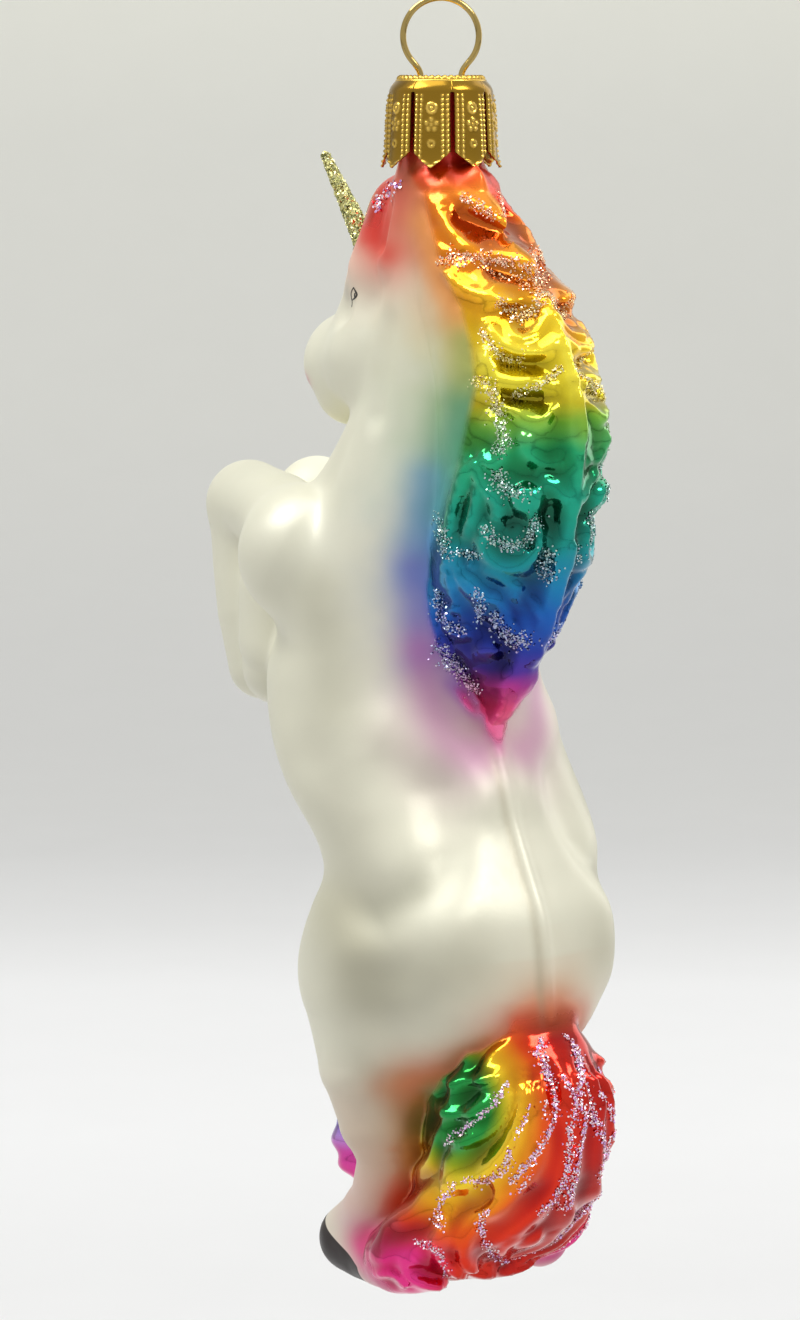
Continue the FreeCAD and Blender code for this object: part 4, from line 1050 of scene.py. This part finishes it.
TAIL_GLITTER = [
    ([(542, 1039), (541, 1055), (549, 1074), (556, 1098), (554, 1124), (542, 1146), (525, 1168), (511, 1182)], 0.62),
    ([(577, 1046), (579, 1062), (583, 1079), (578, 1098), (571, 1124), (570, 1153), (566, 1177), (556, 1196), (540, 1213)], 0.62),
    ([(506, 1084), (496, 1103), (480, 1117), (458, 1134), (448, 1142)], 0.56),
    ([(508, 1151), (508, 1163), (499, 1175), (482, 1182), (463, 1180)], 0.62),
    ([(456, 1182), (441, 1201), (436, 1218), (441, 1228)], 0.56),
    ([(489, 1211), (480, 1220), (482, 1237), (489, 1252), (504, 1261)], 0.66),
    ([(417, 1242), (434, 1247), (444, 1259), (446, 1276)], 0.5),
    ([(600, 1093), (612, 1110), (614, 1122)], 0.5),
    ([(604, 1162), (598, 1180)], 0.5),
]
FORELOCK_GLITTER = [([(398, 181), (384, 196), (377, 208)], 0.9)]


def sight(u, h):
    """The photograph's own line of sight through a place on its plane: start and direction, in mm."""
    az, el, far = math.radians(145.0), math.radians(7.3), 550.0
    back = np.array([math.sin(az) * math.cos(el), -math.cos(az) * math.cos(el), math.sin(el)])
    right = np.array([math.cos(az), math.sin(az), 0.0])
    up = np.cross(back, right)
    up = up if up[2] > 0 else -up
    eye = np.array([0, 0, 80.0]) + back * far
    aim = np.array([0, 0, 80.0]) + right * u + up * (h - 80.0)
    way = aim - eye
    return eye, way / np.linalg.norm(way)


def line_on_skin(tree, points, width, seed, density, mirrored=False):
    """Random places on the skin along a line drawn on the picture."""
    rng = np.random.default_rng(seed)
    line = smooth_line(px(points), 0.25)
    length = np.linalg.norm(np.diff(line, axis=0), axis=1).sum()
    count = int(length * 2 * width * density)
    spots, normals = [], []
    for _ in range(count):
        k = rng.integers(len(line))
        off = rng.normal(0, 0.5, 2) * width * (0.7 + 0.5 * math.sin(0.21 * k) ** 2)
        u, h = line[k] + off
        eye, way = sight(u, h)
        hit, nrm, _, _ = tree.ray_cast(Vector(eye.tolist()), Vector(way.tolist()))
        if hit is None:
            continue
        hit, nrm = np.array(hit), np.array(nrm)
        if mirrored:
            hit2, nrm2, _, _ = tree.find_nearest(Vector((-hit[0], hit[1], hit[2])))
            hit, nrm = np.array(hit2), np.array(nrm2)
        spots.append(hit)
        normals.append(nrm)
    return spots, normals


def glitter_group(name, tree, lines, seed, tones, density, size, side, under):
    """All flakes of one group of lines, on one side of the mid plane."""
    spots, normals = [], []
    for k, (points, width) in enumerate(lines):
        s, n = line_on_skin(tree, points, width, seed + k, density, False)
        s2, n2 = line_on_skin(tree, points, width, seed + 50 + k, density, True)
        for a, b in zip(s + s2, n + n2):
            if (a[0] >= 0) == (side > 0):
                spots.append(a)
                normals.append(b)
    return flakes(name, spots, normals, seed, size, tones, under=under)


def horn_pieces():
    """Glittered horn: close-set flakes laid round the horn's core."""
    foot = np.array([0.0, -16.385, 130.669])
    rise = math.radians(50.0)
    way = np.array([0.0, -math.cos(rise), math.sin(rise)])
    rng = np.random.default_rng(77)
    side = np.array([1.0, 0, 0])
    other = np.cross(way, side)
    spots, normals = [], []
    for _ in range(2600):
        t = rng.uniform(0, 1) ** 1.15
        a = rng.uniform(0, 2 * math.pi)
        r = 1.4 + (0.45 - 1.4) * t
        nrm = side * math.cos(a) + other * math.sin(a)
        spots.append(foot + way * (14.8 * t) + nrm * (r - 0.04))
        normals.append(nrm)
    return flakes("horn_flakes", spots, normals, 78, 0.24, GOLDS, spread=0.35, lift=0.12)


# ---------------------------------------------------------------- build
glass, verts, quads = figure()
glass.data.materials.append(glass_material())
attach(glass, "figure")
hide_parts("glass_body")
skin = BVHTree.FromPolygons([tuple(v) for v in verts.tolist()], [tuple(int(i) for i in q) for q in quads])

flake = flake_material()
for side, word in ((1, "left"), (-1, "right")):
    for part, lines, tones, seed, under in (("mane", MANE_GLITTER, SILVERS, 100, MANE_COLOURS),
                                            ("tail", TAIL_GLITTER, PINKS, 300, None)):
        obj = glitter_group(part + "_flakes_" + word, skin, lines, seed + (0 if side > 0 else 10), tones, 18.0, 0.13,
                            side, under)
        obj.data.materials.append(flake)
        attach(obj, "figure")
        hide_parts(part + "_glitter_" + word)
spots, normals = [], []
for k, (points, width) in enumerate(FORELOCK_GLITTER):
    s, n = line_on_skin(skin, points, width, 500 + k, 9.0, False)
    s2, n2 = line_on_skin(skin, points, width, 540 + k, 9.0, True)
    spots += s + s2
    normals += n + n2
obj = flakes("forelock_flakes", spots, normals, 501, 0.22, PINKS)
obj.data.materials.append(flake)
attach(obj, "figure")
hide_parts("forelock_glitter")

def stroke(name, tree, lines):
    """Painted lines on the skin: flat closed ribbons along lines drawn on the picture."""
    verts, faces = [], []
    for points, width in lines:
        seats = []
        for u, h in smooth_line(px(points), 0.12):
            eye, way = sight(u, h)
            hit, nrm, _, _ = tree.ray_cast(Vector(eye.tolist()), Vector(way.tolist()))
            if hit is not None:
                seats.append((np.array(hit), np.array(nrm)))
        for sign in (1, -1):
            start = len(verts)
            for k, (p, nrm) in enumerate(seats):
                along = seats[min(k + 1, len(seats) - 1)][0] - seats[max(k - 1, 0)][0]
                side = np.cross(along, nrm)
                side /= np.linalg.norm(side)
                taper = width * (0.45 + 0.55 * math.sin(math.pi * (k + 0.5) / len(seats)))
                for a, b in ((-1, -0.06), (1, -0.06), (1, 0.05), (-1, 0.05)):
                    q = p + side * (a * taper / 2) + nrm * b
                    verts.append(q * [sign, 1, 1])
            for k in range(len(seats) - 1):
                for j in range(4):
                    a, b = start + 4 * k + j, start + 4 * k + (j + 1) % 4
                    face = (a, b, b + 4, a + 4)
                    faces.append(face if sign > 0 else face[::-1])
            last = start + 4 * (len(seats) - 1)
            ends = ((start, start + 3, start + 2, start + 1), (last, last + 1, last + 2, last + 3))
            faces += [end if sign > 0 else end[::-1] for end in ends]
    return make_mesh(name, verts, faces, smooth=False)


EYE_LINES = [([(353.5, 287.5), (351.0, 292.5), (351.5, 298.0), (352.5, 302.0), (351.8, 307.0)], 0.22),
             ([(353.5, 287.5), (355.5, 291.0), (357.5, 295.0), (355.0, 298.0), (352.6, 300.0)], 0.30),
             ([(355.0, 293.0), (354.6, 297.0)], 0.30)]
eye_paint = stroke("eye_paint", skin, EYE_LINES)
mat, tree, shader = new_material("eye_enamel")
shade = noise_node(tree, 4000.0, 2.0)
tree.links.new(mix_colour(tree, (0.016, 0.011, 0.009, 1), (0.035, 0.024, 0.018, 1), shade.outputs[0]), shader.inputs["Base Color"])
shader.inputs["Roughness"].default_value = 0.35
eye_paint.data.materials.append(mat)
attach(eye_paint, "figure")

horn = horn_pieces()
horn.data.materials.append(flake)
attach(horn, "figure")

cap_gold = gold_material("gilt_cap", (0.70, 0.45, 0.08), 0.18, 0.30)
# the last colour is painted shade for the recesses between the petals' raised patterns
petal_gold = gold_material("gilt_petals", (0.76, 0.50, 0.10), 0.13, 0.24, (0.29, 0.165, 0.018))
cap_parts = build_cap()
for k, obj in enumerate(cap_parts):
    obj.data.materials.append(cap_gold if k else petal_gold)
    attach(obj, "cap_body")
    if k == 0:
        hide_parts("cap")

wire_gold = gold_material("gilt_wire", (0.44, 0.32, 0.11), 0.06, 0.12)
horn_gold = gold_material("horn_core", (0.50, 0.44, 0.20), 0.35, 0.5)
glue = glue_material()
for name, mat in (("hanger", wire_gold), ("horn", horn_gold), ("horn_adhesive", glue)):
    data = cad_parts[name].data
    data.materials.clear()
    data.materials.append(mat)


# ---------------------------------------------------------------- studio
def seen_rays(tree):
    """1 for rays from the camera, in reflections and through glass, 0 for those that only carry light."""
    seen = tree.nodes.new("ShaderNodeLightPath")
    total = seen.outputs["Is Camera Ray"]
    for word in ("Is Glossy Ray", "Is Transmission Ray"):
        add = node(tree, "ShaderNodeMath", operation="ADD", use_clamp=True)
        tree.links.new(total, add.inputs[0])
        tree.links.new(seen.outputs[word], add.inputs[1])
        total = add.outputs[0]
    return total


def studio():
    scene = bpy.context.scene
    world = bpy.data.worlds.new("studio")
    scene.world = world
    world.use_nodes = True
    tree = world.node_tree
    tree.nodes.clear()
    out = tree.nodes.new("ShaderNodeOutputWorld")
    ground = tree.nodes.new("ShaderNodeBackground")
    coords = tree.nodes.new("ShaderNodeTexCoord")
    split = tree.nodes.new("ShaderNodeSeparateXYZ")
    ramp_node = tree.nodes.new("ShaderNodeValToRGB")
    tree.links.new(coords.outputs["Generated"], split.inputs[0])
    tree.links.new(split.outputs[2], remap_in(tree, ramp_node))
    stops = ramp_node.color_ramp
    stops.elements[0].position = 0.0
    stops.elements[0].color = (0.50, 0.50, 0.50, 1)
    stops.elements[1].position = 1.0
    stops.elements[1].color = (1.0, 1.0, 1.0, 1)
    mid = stops.elements.new(0.5)
    mid.color = (0.78, 0.78, 0.77, 1)
    tree.links.new(ramp_node.outputs[0], ground.inputs[0])
    tree.links.new(remap(tree, seen_rays(tree), 0.0, 1.0, 0.28, 0.95), ground.inputs[1])
    tree.links.new(ground.outputs[0], out.inputs[0])

    for name, place, aim, size, power, tint in (
            ("key", (-0.25, 0.62, 0.66), (0, 0, -0.07), (0.40, 0.35), 4.6, (1.0, 0.99, 0.97)),
            ("fill", (0.55, -0.25, 0.80), (0, 0, -0.08), (0.45, 0.45), 5.6, (0.98, 0.99, 1.0)),
            ("rim", (-0.7, -0.1, 0.2), (0, 0, -0.08), (0.35, 0.8), 1.0, (1.0, 1.0, 1.0)),
            ("top", (0.2, -0.1, 0.9), (0, 0, -0.08), (0.6, 0.6), 3.0, (1.0, 1.0, 1.0))):
        light = bpy.data.lights.new(name, "AREA")
        light.shape = "RECTANGLE"
        light.size, light.size_y = size
        light.energy = power
        light.color = tint
        obj = bpy.data.objects.new(name, light)
        obj.location = place
        way = Vector(aim) - Vector(place)
        obj.rotation_euler = way.to_track_quat("-Z", "Y").to_euler()
        scene.collection.objects.link(obj)

    # sweep: floor that curves up into a backdrop, turned to face the camera
    az = math.radians(145.0)
    away = np.array([-math.sin(az), math.cos(az), 0.0])
    across = np.array([math.cos(az), math.sin(az), 0.0])
    low = -HANG * MM - 0.06
    profile = [(-1.2, low)]
    for k in range(13):
        a = math.pi / 2 * k / 12
        profile.append((0.75 + 0.6 * math.sin(a), low + 0.6 * (1 - math.cos(a))))
    profile.append((1.35, 2.2))
    v, f = [], []
    for d, z in profile:
        for s in (-2.5, 2.5):
            v.append(tuple(away * d + across * s + np.array([0, 0, z])))
    for k in range(len(profile) - 1):
        f.append((2 * k, 2 * k + 1, 2 * k + 3, 2 * k + 2))
    mesh = bpy.data.meshes.new("sweep")
    mesh.from_pydata(v, [], f)
    mesh.polygons.foreach_set("use_smooth", [True] * len(mesh.polygons))
    sweep = bpy.data.objects.new("sweep", mesh)
    scene.collection.objects.link(sweep)
    mat, tree, shader = new_material("sweep_paper")
    coords = tree.nodes.new("ShaderNodeTexCoord")
    split = tree.nodes.new("ShaderNodeSeparateXYZ")
    tree.links.new(coords.outputs["Object"], split.inputs[0])
    fade = remap(tree, split.outputs[2], low, low + 0.55, 0, 1)
    fibre = noise_node(tree, 40.0, 4.0)
    pale = mix_colour(tree, (0.62, 0.62, 0.62, 1), (0.55, 0.55, 0.55, 1), fade)
    speck = mix_colour(tree, pale, (0.80, 0.80, 0.80, 1), remap(tree, fibre.outputs[0], 0.3, 0.8, 0.0, 0.06))
    tree.links.new(speck, shader.inputs["Base Color"])
    shader.inputs["Roughness"].default_value = 0.9
    shader.inputs["Specular IOR Level"].default_value = 0.1
    # painted light: the paper glows for camera rays, reflections and glass, its level graded along the sweep
    total = seen_rays(tree)
    glow = tree.nodes.new("ShaderNodeValToRGB")
    # one measure along the sweep: over the floor towards its curve, then up the wall
    along = node(tree, "ShaderNodeVectorMath", operation="DOT_PRODUCT")
    along.inputs[1].default_value = tuple(away)
    tree.links.new(coords.outputs["Object"], along.inputs[0])
    measure = node(tree, "ShaderNodeMath", operation="ADD")
    tree.links.new(remap(tree, along.outputs["Value"], -0.1, 0.75, 0.0, 0.4), measure.inputs[0])
    tree.links.new(remap(tree, fade, 0.0, 1.0, 0.0, 0.6), measure.inputs[1])
    tree.links.new(measure.outputs[0], glow.inputs[0])
    painted_glow_levels = ((0.0, 0.20, 1.0), (0.15, 0.22, 0.97), (0.20, 0.30, 0.98), (0.27, 0.32, 0.98), (0.31, 0.24, 0.96),
              (0.36, 0.19, 0.93), (0.43, 0.22, 0.90), (0.50, 0.27, 0.86), (0.61, 0.32, 0.84), (0.67, 0.38, 0.82),
              (1.0, 0.44, 0.82))
    for k, (place, level, blue) in enumerate(painted_glow_levels):
        stop = glow.color_ramp.elements[k] if k < 2 else glow.color_ramp.elements.new(place)
        stop.position = place
        stop.color = (level, level, level * blue, 1)
    tree.links.new(glow.outputs[0], shader.inputs["Emission Color"])
    tree.links.new(total, shader.inputs["Emission Strength"])
    mesh.materials.append(mat)

    cam = bpy.data.cameras.new("camera")
    far = 0.55
    el = math.radians(7.3)
    back = Vector((math.sin(az) * math.cos(el), -math.cos(az) * math.cos(el), math.sin(el)))
    aim = Vector((0, 0, (80.0 - HANG) * MM))
    obj = bpy.data.objects.new("camera", cam)
    obj.location = aim + back * far
    obj.rotation_euler = (-back).to_track_quat("-Z", "Y").to_euler()
    scene.collection.objects.link(obj)
    scene.camera = obj
    # the picture is 1320 pixels tall at 8 pixels to the millimetre
    tall = 1320 / 8.0 * MM
    cam.sensor_fit = "VERTICAL"
    cam.sensor_height = 24.0
    cam.lens = cam.sensor_height * far / tall
    cam.shift_x = -(441 - 400) / 1320.0
    cam.shift_y = (656 - 660) / 1320.0
    scene.view_settings.view_transform = "Standard"


def remap_in(tree, ramp_node):
    m = node(tree, "ShaderNodeMapRange")
    m.inputs["From Min"].default_value = -1.0
    m.inputs["From Max"].default_value = 1.0
    tree.links.new(m.outputs[0], ramp_node.inputs[0])
    return m.inputs["Value"]


studio()
